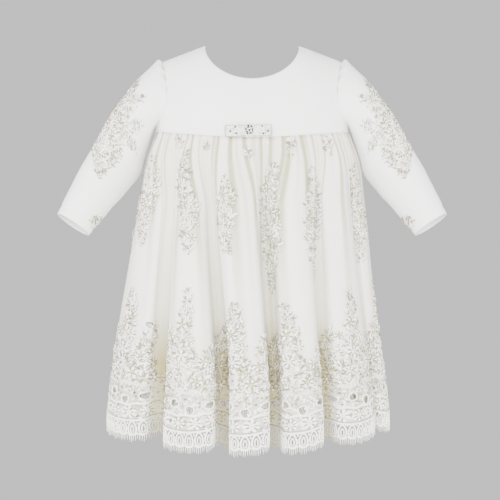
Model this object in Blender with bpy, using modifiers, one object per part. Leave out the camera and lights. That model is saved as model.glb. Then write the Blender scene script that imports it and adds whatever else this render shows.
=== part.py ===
"""Christening gown, filled out as worn with nobody in it: yoke, sleeves, gathered skirt, lining and lace hem.

Blender 4.5 script. The scene is in metres, +Z up; sizes below are in millimetres and turned to metres once.
The gown faces -Y. The origin lies between the two neck points of the shoulder seams, where it is held up.
"""

import math

import bmesh
import bpy
import numpy as np
from mathutils import Vector
from mathutils.geometry import delaunay_2d_cdt

MM = 0.001

# Cloth and seams
SEAM_GAP = 0.3
YOKE_WALL = 2.4
SLEEVE_WALL = 1.6
NET_WALL = 1.0
LINING_WALL = 1.0
LACE_WALL = 1.2
FRONT = -1
BACK = 1

# Yoke: a general chest, cut with a round neck and sloping shoulders
CHEST_HALF_WIDTH = 125.0
CHEST_DEPTH = {FRONT: 66.0, BACK: 58.0}
CHEST_SQUARENESS = 2.4
NECK_HALF_WIDTH = 61.0
NECK_DROP = {FRONT: 48.0, BACK: 38.0}
SHOULDER_TIP_X = 116.0
SHOULDER_TIP_Z = -20.8
SHOULDER_SLOPE = SHOULDER_TIP_Z / (SHOULDER_TIP_X - NECK_HALF_WIDTH)
ROUNDING_AT_NECK = 110.0
ROUNDING_AT_TIP = 70.0
WAIST_SIDE_Z = -112.0
WAIST_DIP = {FRONT: 10.0, BACK: 4.0}
NECK_SHARE = 5 / 8
SIDE_SEAM_SHARE = 0.061
YOKE_COLUMNS = 16
YOKE_ROWS = (0.0, SIDE_SEAM_SHARE, 0.078, 0.115, 0.19, 0.31, 0.46, 0.62, 0.78, 0.91, 1.0)
LAP_SHARE = 0.036
LAP_FLAT_SHARE = 0.05
LAP_END_SHARE = 1 / 8

# Armhole, from the side seam up to the shoulder tip: distance from the centre, height
ARMHOLE = (
    (125.0, -112.0),
    (125.0, -106.0),
    (121.0, -102.5),
    (114.5, -95.5),
    (109.5, -83.0),
    (108.5, -62.0),
    (111.5, -40.0),
    (SHOULDER_TIP_X, SHOULDER_TIP_Z),
)

# Sleeve sections: outer x, outer z, inner x, inner z, half depth, centre y, turn of the section in degrees
SLEEVE = (
    (118.5, -19.5, 126.8, -109.0, 31.0, 0.0, 0.0),
    (124.5, -18.0, 129.0, -117.0, 35.0, -1.0, 1.0),
    (132.5, -26.0, 133.0, -130.0, 37.5, -3.0, 2.0),
    (145.2, -40.7, 137.5, -144.5, 38.5, -6.0, 3.0),
    (165.0, -67.7, 143.0, -163.5, 38.0, -11.0, 5.0),
    (179.0, -87.9, 149.8, -175.2, 36.5, -16.0, 7.0),
    (198.0, -121.3, 162.0, -191.0, 33.0, -23.0, 9.0),
    (211.6, -146.2, 174.0, -204.9, 30.0, -29.0, 11.0),
    (229.8, -181.5, 190.0, -223.8, 26.0, -36.0, 13.0),
    (247.6, -220.0, 207.5, -245.5, 21.5, -42.0, 14.0),
)
PUFF = 4.5
PUFF_AT = 0.075
PUFF_LENGTH = 0.05
SLEEVE_SIDES = 2 * (len(YOKE_ROWS) - 2)
SLEEVE_ROWS = (0.0, 0.06, 0.15, 0.26, 0.38, 0.5, 0.63, 0.76, 0.88, 1.0)
SLEEVE_HEAD = 0.22

# Skirt outline, its folds' outer edge: height, half width, front depth, back depth
SKIRT = (
    (-112.0, 125.0, 66.0, 58.0),
    (-125.0, 131.5, 75.0, 66.0),
    (-145.0, 139.5, 85.0, 75.0),
    (-165.0, 144.0, 93.0, 82.0),
    (-190.0, 147.5, 101.0, 88.0),
    (-230.0, 153.0, 109.0, 95.0),
    (-283.0, 159.5, 117.0, 103.0),
    (-330.0, 166.0, 123.0, 109.0),
    (-382.0, 173.5, 129.0, 115.0),
    (-430.0, 180.5, 134.0, 120.0),
    (-475.0, 185.0, 137.0, 123.0),
    (-520.0, 186.5, 138.0, 124.0),
)
SKIRT_SWAY = -7.0
NET_HEM_SIDE_Z = -427.0
NET_HEM_DIP = {FRONT: 17.0, BACK: 9.0}

# Folds of the skirt, one row a valley, anticlockwise from the wearer's right side seam:
# angle at the waist, angle at the hem, depth at the hem, how far the sides lap, how far the scallop's cusp comes first
FOLDS = (
    (-90.0, -90.0, 16.0, 0.6, 0.0),
    (-46.0, -39.0, 24.0, 0.95, 0.03),
    (-24.0, -9.5, 38.0, 1.1, 0.2),
    (6.0, 12.0, 38.0, 1.05, 0.2),
    (36.0, 35.5, 24.0, 0.8, 0.1),
    (66.0, 70.0, 22.0, 0.6, 0.05),
    (92.0, 92.0, 16.0, 0.6, 0.0),
    (116.0, 118.0, 24.0, 0.7, 0.02),
    (143.0, 142.0, 32.0, 0.9, 0.05),
    (168.0, 166.0, 26.0, 0.8, 0.0),
    (194.0, 193.0, 34.0, 0.95, 0.04),
    (221.0, 218.0, 24.0, 0.7, 0.0),
    (245.0, 243.0, 28.0, 0.8, 0.03),
)
FRONT_FOLDS = 6
ALL_FOLDS = len(FOLDS)
VALLEY_NARROWING = 0.75
COLUMNS_PER_FOLD = 9
GATHERS_PER_FOLD = 3
SIDE_GAP = 0.0035

# How the folds and the gathers change down the skirt: share of the drop, share of fold depth, gather depth
DROP = (
    (0.0, 0.03, 0.3),
    (0.03, 0.10, 2.4),
    (0.10, 0.22, 3.4),
    (0.25, 0.45, 3.0),
    (0.45, 0.68, 1.6),
    (0.70, 0.86, 0.3),
    (1.0, 1.0, 0.0),
    (1.3, 1.05, 0.0),
)
NET_ROWS = (0.0, 0.035, 0.12, 0.28, 0.5, 0.75, 1.0)
LINING_ROWS = (0.0, 0.035, 0.12, 0.5, 0.965)
LINING_INSET_TOP = 0.4
LINING_INSET_HEM = 2.6

# Lace border, one scallop a fold, in millimetres of cloth below the net's hem
SCALLOP_WIDTH = 90.0
LOOPS = 7
EDGE_AT_CUSP = 50.0
EDGE_AT_MIDDLE = 60.5
ARC_AT_CUSP = 32.0
ARC_AT_MIDDLE = 45.0
LOOP_BULGE = 3.0
SCALLOP_FULLNESS = 0.75
LOOP_HOLE_WIDTH = 5.0
LOOP_HOLE_SHARE = 0.62

# Other gaps of one scallop: share along it, share of the way down to the arc, width, height, corners, turn in degrees
LACE_GAPS = (
    (0.17, 0.30, 10.0, 6.0, 5, 20.0),
    (0.42, 0.26, 6.5, 6.5, 4, 45.0),
    (0.61, 0.42, 6.0, 8.0, 5, 0.0),
    (0.84, 0.27, 9.0, 6.0, 5, -25.0),
    (0.10, 0.72, 7.0, 6.0, 4, 30.0),
    (0.36, 0.75, 7.0, 6.5, 4, 10.0),
    (0.64, 0.77, 7.0, 6.5, 4, -10.0),
    (0.90, 0.72, 7.0, 6.0, 4, -30.0),
)

# Eyelash fringe below the scallops, a strand at each corner of their edge
STRANDS_PER_SCALLOP = 2 * LOOPS
EDGE_SHARES = np.arange(STRANDS_PER_SCALLOP + 1) / STRANDS_PER_SCALLOP
STRIP_DEPTH = 1.6
STRAND_LENGTH = 8.0
STRAND_WIDTH = 2.0

# Bow at the waist seam
BOW_X = -4.5
BOW_Z = -115.5
BOW_LOOP_LENGTH = 29.0
BOW_LOOP_DEPTH = 5.0
BOW_HEIGHT = 14.0
BOW_TURN = math.radians(-1.0)
RIBBON_WALL = 1.0
KNOT_WIDTH = 8.0
KNOT_HEIGHT = 16.8
KNOT_DEPTH = 7.8

# Back buttons
BUTTON_HEIGHTS = (-45.0, -73.0, -101.0)
BUTTON_RADIUS = 4.5
BUTTON_DEPTH = 2.6

# Colour, roughness
MATERIALS = {
    "satin": ((0.82, 0.82, 0.80), 0.55),
    "net": ((0.84, 0.83, 0.78), 0.7),
    "lining_satin": ((0.86, 0.86, 0.84), 0.45),
    "lace": ((0.85, 0.84, 0.78), 0.75),
    "ribbon": ((0.83, 0.82, 0.80), 0.4),
    "pearl": ((0.88, 0.86, 0.80), 0.25),
}


def smooth(t):
    """0 to 1 with a soft start and end."""
    t = np.clip(t, 0.0, 1.0)
    return t * t * (3 - 2 * t)


def column_of(table, column, at):
    """A table's column, read at any value of its first column."""
    rows = np.array(table, float)
    order = np.argsort(rows[:, 0])
    return np.interp(at, rows[order, 0], rows[order, column])


def through(points, t):
    """A smooth curve (Catmull-Rom) through the points, read at t from 0 to 1."""
    points = np.array(points, float)
    ends = np.vstack([2 * points[0] - points[1], points, 2 * points[-1] - points[-2]])
    place = np.clip(np.asarray(t, float), 0, 1) * (len(points) - 1)
    first = np.minimum(place.astype(int), len(points) - 2)
    f = (place - first)[:, None]
    a, b, c, d = (ends[first + i] for i in range(4))
    return 0.5 * (2 * b + (c - a) * f + (2 * a - 5 * b + 4 * c - d) * f**2 + (3 * b - a - 3 * c + d) * f**3)


def evenly(points):
    """The same smooth curve as a function of the share of its length."""
    fine = through(points, np.linspace(0, 1, 400))
    run = np.concatenate([[0], np.cumsum(np.linalg.norm(np.diff(fine, axis=0), axis=1))])
    return lambda t: np.stack([np.interp(t, run / run[-1], fine[:, i]) for i in range(fine.shape[1])], 1)


# Yoke

armhole_line = evenly(ARMHOLE)


def armhole_edge(t):
    """The armhole's line, never past the side seam."""
    line = armhole_line(t)
    return np.stack([np.minimum(line[:, 0], CHEST_HALF_WIDTH), line[:, 1]], 1)


def waist_z(x, face):
    """Height of the waist seam, lower at the centre."""
    return WAIST_SIDE_Z - WAIST_DIP[face] * (1 - np.clip(np.abs(x) / CHEST_HALF_WIDTH, 0, 1) ** 2)


def neck_and_shoulder(s, face):
    """The yoke's top edge: an elliptical neckline, then a straight shoulder seam."""
    share = np.abs(s)
    angle = np.clip(share / NECK_SHARE, 0, 1) * math.pi / 2
    along = np.clip((share - NECK_SHARE) / (1 - NECK_SHARE), 0, 1)
    x = NECK_HALF_WIDTH * np.sin(angle) + (SHOULDER_TIP_X - NECK_HALF_WIDTH) * along
    z = -NECK_DROP[face] * np.cos(angle) + SHOULDER_TIP_Z * along
    return np.stack([np.sign(s) * x, z], 1)


def yoke_outline(s, v, face):
    """A point of the flat yoke: s from side to side, v from the waist seam up. Its four edges are the real ones."""

    def waist(at):
        x = CHEST_HALF_WIDTH * np.sin(at * math.pi / 2)
        return np.stack([x, waist_z(x, face)], 1)

    def side(at, hand):
        return armhole_edge(at) * [hand, 1]

    ones = np.ones_like(s)
    share = ((s + 1) / 2)[:, None]
    rise = v[:, None]
    ruled = (1 - rise) * waist(s) + rise * neck_and_shoulder(s, face)
    sides = (1 - share) * side(v, -1) + share * side(v, 1)
    left = (1 - rise) * waist(-ones) + rise * neck_and_shoulder(-ones, face)
    right = (1 - rise) * waist(ones) + rise * neck_and_shoulder(ones, face)
    return ruled + sides - (1 - share) * left - share * right


def section(x):
    """Share of the chest's depth that is left at x."""
    return (1 - np.clip(np.abs(x) / CHEST_HALF_WIDTH, 0, 1) ** CHEST_SQUARENESS) ** (1 / CHEST_SQUARENESS)


def chest_y(x, z, face):
    """Depth of the chest at a point of the yoke, rounding over to the shoulder seam at y = 0."""
    shoulder = SHOULDER_SLOPE * np.maximum(np.abs(x) - NECK_HALF_WIDTH, 0)
    reach = np.clip(np.abs(x) / SHOULDER_TIP_X, 0, 1)
    rounding = ROUNDING_AT_NECK + (ROUNDING_AT_TIP - ROUNDING_AT_NECK) * reach
    fall = np.clip((shoulder - z) / rounding, 0, 1)
    return face * CHEST_DEPTH[face] * section(x) * np.sqrt(1 - (1 - fall) ** 2)


def yoke_surface(face, lap=0.0):
    """The outer side of a front or back yoke. lap lifts the edge of the over half at the centre back."""

    def at(s, v):
        flat = yoke_outline(s, v, face)
        x, z = flat[:, 0], flat[:, 1]
        lifted = lap * np.clip((LAP_END_SHARE - s) / (LAP_END_SHARE - LAP_FLAT_SHARE), 0, 1)
        y = chest_y(x, z, face) + face * (lifted + SEAM_GAP / 2)
        return np.stack([x, y, z], 1)

    return at


# Sleeves

sleeve_sections = evenly(SLEEVE)


def normals(surface, a, b, sign, limits):
    """Unit normals of a surface, by differences that stay inside its limits (low, high and step each way)."""
    (low_a, high_a, step_a), (low_b, high_b, step_b) = limits
    across = surface(np.minimum(a + step_a, high_a), b) - surface(np.maximum(a - step_a, low_a), b)
    down = surface(a, np.minimum(b + step_b, high_b)) - surface(a, np.maximum(b - step_b, low_b))
    n = sign * np.cross(across, down)
    return n / np.linalg.norm(n, axis=1)[:, None]


def armhole_loop(alpha):
    """The armhole's seam line on the wearer's left (+X): shoulder tip, front, underarm, back.

    Its sides end at the yoke's own rows, so that the sleeve and the yoke follow the same straight edges.
    """
    alpha = np.mod(alpha, 1.0)
    to_front = alpha <= 0.5
    share = np.where(to_front, 1 - alpha / 0.5, (alpha - 0.5) / 0.5)
    rows = np.array(YOKE_ROWS[1:])
    v = np.interp(share, np.linspace(0, 1, len(rows)), rows)
    flat = armhole_edge(v)
    x, z = flat[:, 0], flat[:, 1]
    y = np.where(to_front, chest_y(x, z, FRONT), chest_y(x, z, BACK))
    return np.stack([x, y, z], 1)


def off_the_yoke(alpha):
    """The armhole's seam line moved a seam's gap away from the yoke, along the yoke's own surface."""
    step = 0.012
    here = armhole_loop(alpha)
    along = armhole_loop(alpha + step) - armhole_loop(alpha - step)
    front = np.sin(2 * math.pi * alpha)
    steep = (here[:, 0] / CHEST_HALF_WIDTH) ** 2
    out = np.stack([steep, -0.8 * front * (1 - 0.4 * steep), 0.9 * np.clip(np.cos(2 * math.pi * alpha), 0, 1)], 1)
    away = np.cross(out, along)
    away /= np.linalg.norm(away, axis=1)[:, None]
    return here + 1.5 * SEAM_GAP * away


def sleeve_surface(hand):
    """The outer side of a sleeve: alpha round it from the top, w from the armhole to the cuff."""

    def at(alpha, w):
        rows = sleeve_sections(w)
        outer, inner = rows[:, 0:2], rows[:, 2:4]
        centre, half = (outer + inner) / 2, (outer - inner) / 2
        turn = np.radians(rows[:, 6])
        c, s = np.cos(2 * math.pi * alpha), np.sin(2 * math.pi * alpha)
        x = centre[:, 0] + c * half[:, 0]
        y = rows[:, 5] - s * rows[:, 4] * np.cos(turn)
        z = centre[:, 1] + c * half[:, 1] + s * rows[:, 4] * np.sin(turn)
        puff = PUFF * np.exp(-((w - PUFF_AT) / PUFF_LENGTH) ** 2) * smooth((c + 0.2) / 0.9)
        round_section = np.stack([x, y, z], 1)
        share = smooth(w / SLEEVE_HEAD)[:, None]
        p = off_the_yoke(alpha) * (1 - share) + round_section * share
        p = p + (puff * smooth(w / 0.03))[:, None] * [0.35, 0.0, 0.94]
        return p * [hand, 1, 1]

    return at


# Skirt

def fold_table():
    """The folds' rows continued once round each way, so that they can be read past the side seam."""
    rows = np.array(FOLDS, float)
    turn = np.array([360.0, 360.0, 0, 0, 0])
    return np.vstack([rows - turn, rows, rows + turn])


def fold_column(column, p):
    """A column of the folds at p, soft between the valleys; p counts valleys and may pass the side seam."""
    rows = fold_table()[:, column]
    place = np.asarray(p, float) + ALL_FOLDS
    first = np.floor(place).astype(int)
    f = place - first
    if column > 1:
        f = smooth(f)
    return rows[first] * (1 - f) + rows[first + 1] * f


def skirt_surface(gathers=1.0):
    """The net's outer side: p counts folds round the skirt, v is the share of the drop from waist to net hem."""

    def at(p, v):
        phase = 2 * math.pi * p
        depth = column_of(DROP, 1, v)
        lap = fold_column(3, p) * smooth(v / 0.6)
        q = p - VALLEY_NARROWING * smooth(v / 0.3) / (2 * math.pi) * np.sin(phase)
        q = q + lap / (4 * math.pi) * np.sin(2 * phase)
        lean = smooth(v)
        theta = np.radians(fold_column(0, q) * (1 - lean) + fold_column(1, q) * lean)
        frontness = np.cos(theta)
        top, hem = (
            side_z - np.where(frontness > 0, dip[FRONT], dip[BACK]) * frontness**2
            for side_z, dip in ((WAIST_SIDE_Z, WAIST_DIP), (NET_HEM_SIDE_Z, NET_HEM_DIP))
        )
        z = top - SEAM_GAP + (hem - top) * v
        level = np.where(v < 1e-6, WAIST_SIDE_Z, z - (top - WAIST_SIDE_Z) * (1 - v))
        width = column_of(SKIRT, 1, level)
        length = np.where(frontness > 0, column_of(SKIRT, 2, level), column_of(SKIRT, 3, level))
        power = 2 / (CHEST_SQUARENESS + (2.0 - CHEST_SQUARENESS) * smooth(v / 0.3))
        x = width * np.sign(np.sin(theta)) * np.abs(np.sin(theta)) ** power
        y = -length * np.sign(frontness) * np.abs(frontness) ** power
        out = np.stack([x / width**2, y / length**2], 1)
        out /= np.linalg.norm(out, axis=1)[:, None]
        inset = fold_column(2, p) * depth * (1 + np.cos(phase)) / 2
        inset = inset + gathers * column_of(DROP, 2, v) * (1 + np.cos(GATHERS_PER_FOLD * phase)) / 2
        sway = SKIRT_SWAY * smooth(v / 0.9)
        return np.stack([x - out[:, 0] * inset + sway, y - out[:, 1] * inset, z], 1)

    return at


def lining_inset(v):
    """How far the lining's outer side lies inside the net's, clear of the gathers."""
    slack = LINING_INSET_TOP + (LINING_INSET_HEM - LINING_INSET_TOP) * smooth(v / 0.2)
    return NET_WALL + slack + column_of(DROP, 2, v)


def scallops_to_folds():
    """A scallop count as a fold count, and back again, with every scallop evenly spaced along the cloth."""
    fine = np.linspace(0, ALL_FOLDS, 240 * ALL_FOLDS + 1)
    ring = skirt_surface()(fine, np.full_like(fine, 1.1))
    run = np.concatenate([[0], np.cumsum(np.linalg.norm(np.diff(ring, axis=0), axis=1))])
    cusps = np.array([i - row[4] for i, row in enumerate(FOLDS)] + [ALL_FOLDS])
    starts = np.interp(cusps, fine, run)
    counts = np.arange(ALL_FOLDS + 1)
    return (lambda s: np.interp(np.interp(s, counts, starts), run, fine),
            lambda p: np.interp(np.interp(p, fine, run), starts, counts))


def straight_between(shares, function):
    """A function of scallop count and depth, made straight between the given shares of every scallop."""

    def at(s, t):
        whole = np.floor(s)
        part = s - whole
        first = np.clip(np.searchsorted(shares, part, side="right") - 1, 0, len(shares) - 2)
        low, high = shares[first], shares[first + 1]
        f = ((part - low) / (high - low))[:, None]
        return function(whole + low, t) * (1 - f) + function(whole + high, t) * f

    return at


def lace_surface():
    """The border's outer side: s counts scallops round the hem, t is millimetres of cloth below the net's hem."""
    net = skirt_surface()
    place, _ = scallops_to_folds()
    drop = WAIST_SIDE_Z - NET_HEM_SIDE_Z
    return lambda s, t: net(place(s), 1 + (t + SEAM_GAP) / drop)


def scallop_line(u, at_cusp, at_middle):
    """A scallop's arc: how far down it is at share u of the scallop."""
    return at_cusp + (at_middle - at_cusp) * np.sin(math.pi * np.mod(u, 1.0)) ** SCALLOP_FULLNESS


def lace_edge(u):
    """The border's lower edge: a big scallop with a small one for each loop."""
    small = LOOP_BULGE * np.abs(np.sin(LOOPS * math.pi * np.mod(u, 1.0))) ** 0.8
    return scallop_line(u, EDGE_AT_CUSP, EDGE_AT_MIDDLE) + small


def gap(u, t, width, height, corners, turn):
    """Corners of one gap in the lace, as (share of the scallop, millimetres down)."""
    angles = np.linspace(0, 2 * math.pi, corners, endpoint=False) + math.pi / 2
    x, y = np.cos(angles) * width / 2, np.sin(angles) * height / 2
    c, s = math.cos(math.radians(turn)), math.sin(math.radians(turn))
    return [(u + (a * c - b * s) / SCALLOP_WIDTH, t + a * s + b * c) for a, b in zip(x, y)]


def lace_gaps():
    """Every gap of one scallop: a long one in each loop, and the larger ones above the arc."""
    found = []
    for i in range(LOOPS):
        u = (i + 0.5) / LOOPS
        top, bottom = scallop_line(u, ARC_AT_CUSP, ARC_AT_MIDDLE), lace_edge(u)
        found.append(gap(u, (top + bottom) / 2, LOOP_HOLE_WIDTH, LOOP_HOLE_SHARE * (bottom - top), 4, 0))
    for u, share, width, height, corners, turn in LACE_GAPS:
        t = share * scallop_line(u, ARC_AT_CUSP, ARC_AT_MIDDLE)
        found.append(gap(u, t, width, height, corners, turn))
    return found


def columns_over(k):
    """Where the net's columns meet scallop k, as shares of it."""
    _, back = scallops_to_folds()
    columns = np.arange(ALL_FOLDS * COLUMNS_PER_FOLD + 1) / COLUMNS_PER_FOLD
    shares = back(columns) - k
    kept = [float(u) for u in shares if 0.03 < u < 0.97]
    return [0.0] + kept + [1.0]


def lace_pattern(across):
    """One scallop laid flat and cut into triangles round its gaps: its points and its faces."""
    up = (25.0,)
    edge = EDGE_SHARES[::-1]
    rim = [(u, 0.0) for u in across] + [(1.0, t) for t in up]
    rim += [(u, float(lace_edge(u))) for u in edge] + [(0.0, t) for t in reversed(up)]
    loops = [rim] + lace_gaps()
    points = [p for loop in loops for p in loop]
    edges, start = [], 0
    for loop in loops:
        edges += [(start + i, start + (i + 1) % len(loop)) for i in range(len(loop))]
        start += len(loop)
    flat = [Vector((u * SCALLOP_WIDTH, t)) for u, t in points]
    made, _, faces, *_ = delaunay_2d_cdt(flat, edges, [], 1, 1e-4)
    kept = [f for f in faces if not any(inside(centre_of(made, f), hole) for hole in loops[1:])]
    return [(p.x / SCALLOP_WIDTH, p.y) for p in made], kept


def centre_of(points, face):
    """The middle of a flat face, as (share of the scallop, millimetres down)."""
    middle = sum((points[i] for i in face), Vector((0, 0))) / len(face)
    return middle.x / SCALLOP_WIDTH, middle.y


def inside(point, loop):
    """Whether a flat point lies inside a closed loop."""
    x, y = point
    within = False
    for (x0, y0), (x1, y1) in zip(loop, loop[1:] + loop[:1]):
        if (y0 > y) != (y1 > y) and x < x0 + (y - y0) / (y1 - y0) * (x1 - x0):
            within = not within
    return within


def fringe_pattern():
    """One scallop of fringe laid flat: a narrow strip along the lace's edge with its strands fused to it."""
    top = lace_edge(EDGE_SHARES) + SEAM_GAP
    points = list(zip(EDGE_SHARES, top))
    faces = []
    for root in EDGE_SHARES[:-1]:
        end = root + STRAND_WIDTH / SCALLOP_WIDTH
        tip = (root + end) / 2
        for u, extra in ((root, 0), (end, 0), (tip, STRAND_LENGTH)):
            points.append((u, np.interp(u, EDGE_SHARES, top) + STRIP_DEPTH + extra))
    points.append((1.0, top[-1] + STRIP_DEPTH))
    for i in range(STRANDS_PER_SCALLOP):
        first = STRANDS_PER_SCALLOP + 1 + 3 * i
        faces += [(i, i + 1, first + 3, first + 1, first), (first, first + 1, first + 2)]
    return points, faces


# Building

def empty_scene():
    for obj in list(bpy.data.objects):
        bpy.data.objects.remove(obj)


def made_materials():
    made = {}
    for name, (colour, roughness) in MATERIALS.items():
        material = bpy.data.materials.new(name)
        material.use_nodes = True
        shader = material.node_tree.nodes["Principled BSDF"]
        shader.inputs["Base Color"].default_value = (*colour, 1.0)
        shader.inputs["Roughness"].default_value = roughness
        shader.inputs["Metallic"].default_value = 0.0
        made[name] = material
    return made


def add_object(name, mesh, collection, material):
    obj = bpy.data.objects.new(name, mesh)
    mesh.materials.append(material)
    collection.objects.link(obj)
    return obj


def grid(a_values, b_values, closed=False):
    """Parameters and faces of a grid; closed joins its last column to its first."""
    a_values, b_values = np.asarray(a_values, float), np.asarray(b_values, float)
    columns = len(a_values)
    corners = [(a, b) for b in b_values for a in a_values]
    faces = []
    for row in range(len(b_values) - 1):
        for column in range(columns if closed else columns - 1):
            right = (column + 1) % columns
            faces.append((row * columns + column, row * columns + right,
                          (row + 1) * columns + right, (row + 1) * columns + column))
    return corners, faces


def side_by_side(patterns, first):
    """Scallops' patterns laid side by side from scallop first on, their shared points made one."""
    corners, index, made = [], {}, []
    for k, (points, faces) in enumerate(patterns, first):
        here = []
        for u, t in points:
            key = (round(k + u, 4), round(t, 2))
            if key not in index:
                index[key] = len(corners)
                corners.append((k + u, t))
            here.append(index[key])
        made += [tuple(here[i] for i in face) for face in faces]
    return corners, made


def sheared_ends(corners, low, high):
    """Corners with the two ends drawn in by half a seam's gap, so that front and back stay apart."""
    a = np.array([c[0] for c in corners])
    b = np.array([c[1] for c in corners])
    a = np.clip(a, low + SIDE_GAP, high - SIDE_GAP)
    return a, b


def in_triangles(points, faces):
    """The faces cut into triangles, the shorter diagonal first."""
    bm = bmesh.new()
    verts = [bm.verts.new(p) for p in points]
    for i, vert in enumerate(verts):
        vert.index = i
    for face in faces:
        bm.faces.new([verts[i] for i in face])
    bmesh.ops.triangulate(bm, faces=bm.faces[:], quad_method="SHORT_EDGE", ngon_method="EAR_CLIP")
    made = [tuple(v.index for v in face.verts) for face in bm.faces]
    bm.free()
    return made


def cloth(name, corners, faces, surface, sign, wall, collection, material,
          limits=None, inset=None, keep=None, facing=None):
    """A closed wall of cloth: the surface's own points outside, and the same points moved in by the wall.

    Both sides are cut along the same diagonals, and the rim from the outer side to the inner in one sense, so
    that two pieces made to the same line never cross along it.
    """
    a, b = corners
    n = facing(a, b) if facing else normals(surface, a, b, sign, limits)
    outer = surface(a, b)
    if inset is not None:
        outer = outer - n * inset(b)[:, None]
    inner = outer - n * wall
    if keep is not None:
        outer, inner = keep(outer), keep(inner)
    triangles = in_triangles(outer, faces)
    bm = bmesh.new()
    outside = [bm.verts.new(p * MM) for p in outer]
    inside_ = [bm.verts.new(p * MM) for p in inner]
    used = {}
    for face in triangles:
        bm.faces.new([outside[i] for i in face])
        bm.faces.new([inside_[i] for i in reversed(face)])
        for i, j in zip(face, face[1:] + face[:1]):
            used.setdefault(frozenset((i, j)), []).append((i, j))
    for found in used.values():
        if len(found) == 1:
            i, j = sorted(found[0], key=lambda k: (a[k], b[k]))
            bm.faces.new([outside[i], outside[j], inside_[j]])
            bm.faces.new([outside[i], inside_[j], inside_[i]])
    bmesh.ops.recalc_face_normals(bm, faces=bm.faces)
    mesh = bpy.data.meshes.new(name)
    bm.to_mesh(mesh)
    bm.free()
    mesh.shade_smooth()
    mesh.set_sharp_from_angle(angle=math.radians(50))
    return add_object(name, mesh, collection, material)


def build_yoke(collection, materials):
    """Front yoke, and two back halves of which the wearer's left laps over the other."""
    columns = np.linspace(-1, 1, YOKE_COLUMNS + 1)
    halves = YOKE_COLUMNS // 2
    limits = ((-1.0, 1.0, 0.002), (0.0, 1.0, 0.001))

    def kept_to(face):
        return lambda p: np.stack([p[:, 0], face * np.maximum(face * p[:, 1], SEAM_GAP / 2), p[:, 2]], 1)

    over = YOKE_WALL + SEAM_GAP
    panels = (
        ("yoke_front", FRONT, columns, 0.0),
        ("yoke_back_right", BACK, np.concatenate([columns[:halves + 1], [LAP_SHARE]]), 0.0),
        ("yoke_back_left", BACK, np.concatenate([[-LAP_SHARE, 0, LAP_FLAT_SHARE], columns[halves + 1:]]), over),
    )
    for name, face, across, lap in panels:
        corners, faces = grid(across, YOKE_ROWS)
        flat = (np.array([c[0] for c in corners]), np.array([c[1] for c in corners]))
        sign = 1 if face == FRONT else -1
        cloth(name, flat, faces, yoke_surface(face, lap), sign, YOKE_WALL, collection,
              materials["satin"], limits, keep=kept_to(face))


def build_sleeves(collection, materials):
    alphas = np.arange(SLEEVE_SIDES) / SLEEVE_SIDES
    corners, faces = grid(alphas, SLEEVE_ROWS, closed=True)
    flat = (np.array([c[0] for c in corners]), np.array([c[1] for c in corners]))
    for name, hand in (("sleeve_left", 1), ("sleeve_right", -1)):
        cloth(name, flat, faces, sleeve_surface(hand), hand, SLEEVE_WALL, collection,
              materials["satin"], ((-1.0, 2.0, 0.012), (0.0, 1.0, 0.003)))


def build_skirt(collection, materials):
    """Net, lining, lace border and fringe, each as a front and a back."""
    lace = lace_surface()
    limits = ((-1.0, 14.0, 0.012), (0.0, 1.2, 0.001))
    hem_limits = ((0.0, float(ALL_FOLDS), 0.012), (-1.0, 90.0, 0.1))
    parts = (("front", 0, FRONT_FOLDS), ("back", FRONT_FOLDS, ALL_FOLDS))
    for word, first, last in parts:
        folds = np.linspace(first, last, (last - first) * COLUMNS_PER_FOLD + 1)
        corners, faces = grid(folds, NET_ROWS)
        cloth("skirt_" + word, sheared_ends(corners, first, last), faces, skirt_surface(), -1, NET_WALL,
              collection, materials["net"], limits)
        corners, faces = grid(folds, LINING_ROWS)
        cloth("lining_" + word, sheared_ends(corners, first, last), faces, skirt_surface(gathers=0.0), -1,
              LINING_WALL, collection, materials["lining_satin"], limits, inset=lining_inset)
        corners, faces = side_by_side([lace_pattern(columns_over(k)) for k in range(first, last)], first)
        cloth("hem_lace_" + word, sheared_ends(corners, first, last), faces, lace, -1, LACE_WALL,
              collection, materials["lace"], hem_limits)
        corners, faces = side_by_side([fringe_pattern()] * (last - first), first)
        cloth("hem_fringe_" + word, sheared_ends(corners, first, last), faces,
              straight_between(EDGE_SHARES, lace), -1, LACE_WALL, collection, materials["lace"],
              facing=straight_between(EDGE_SHARES, lambda s, t: normals(lace, s, t, -1, hem_limits)))


def stadium(length, depth, corner):
    """A rounded oblong about its own middle, as points in order."""
    radius = min(depth / 2, corner)
    points = []
    for cx, cy, start in ((1, 1, 0), (-1, 1, 90), (-1, -1, 180), (1, -1, 270)):
        for step in range(4):
            angle = math.radians(start + 30 * step)
            points.append((cx * (length / 2 - radius) + radius * math.cos(angle),
                           cy * (depth / 2 - radius) + radius * math.sin(angle)))
    return points


def band(name, length, depth, wall, height, corner, collection, material):
    """A closed band of ribbon: a flat ring with rounded ends, as tall along Z as the ribbon is wide."""
    outer = stadium(length, depth, corner)
    inner = stadium(length - 2 * wall, depth - 2 * wall, corner - wall)
    bm = bmesh.new()
    rings = []
    for line, z in ((outer, -height / 2), (outer, height / 2), (inner, height / 2), (inner, -height / 2)):
        rings.append([bm.verts.new((x * MM, y * MM, z * MM)) for x, y in line])
    for ring, after in zip(rings, rings[1:] + rings[:1]):
        for i in range(len(ring)):
            j = (i + 1) % len(ring)
            bm.faces.new([ring[i], ring[j], after[j], after[i]])
    bmesh.ops.recalc_face_normals(bm, faces=bm.faces)
    mesh = bpy.data.meshes.new(name)
    bm.to_mesh(mesh)
    bm.free()
    mesh.shade_smooth()
    mesh.set_sharp_from_angle(angle=math.radians(50))
    return add_object(name, mesh, collection, material)


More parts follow.
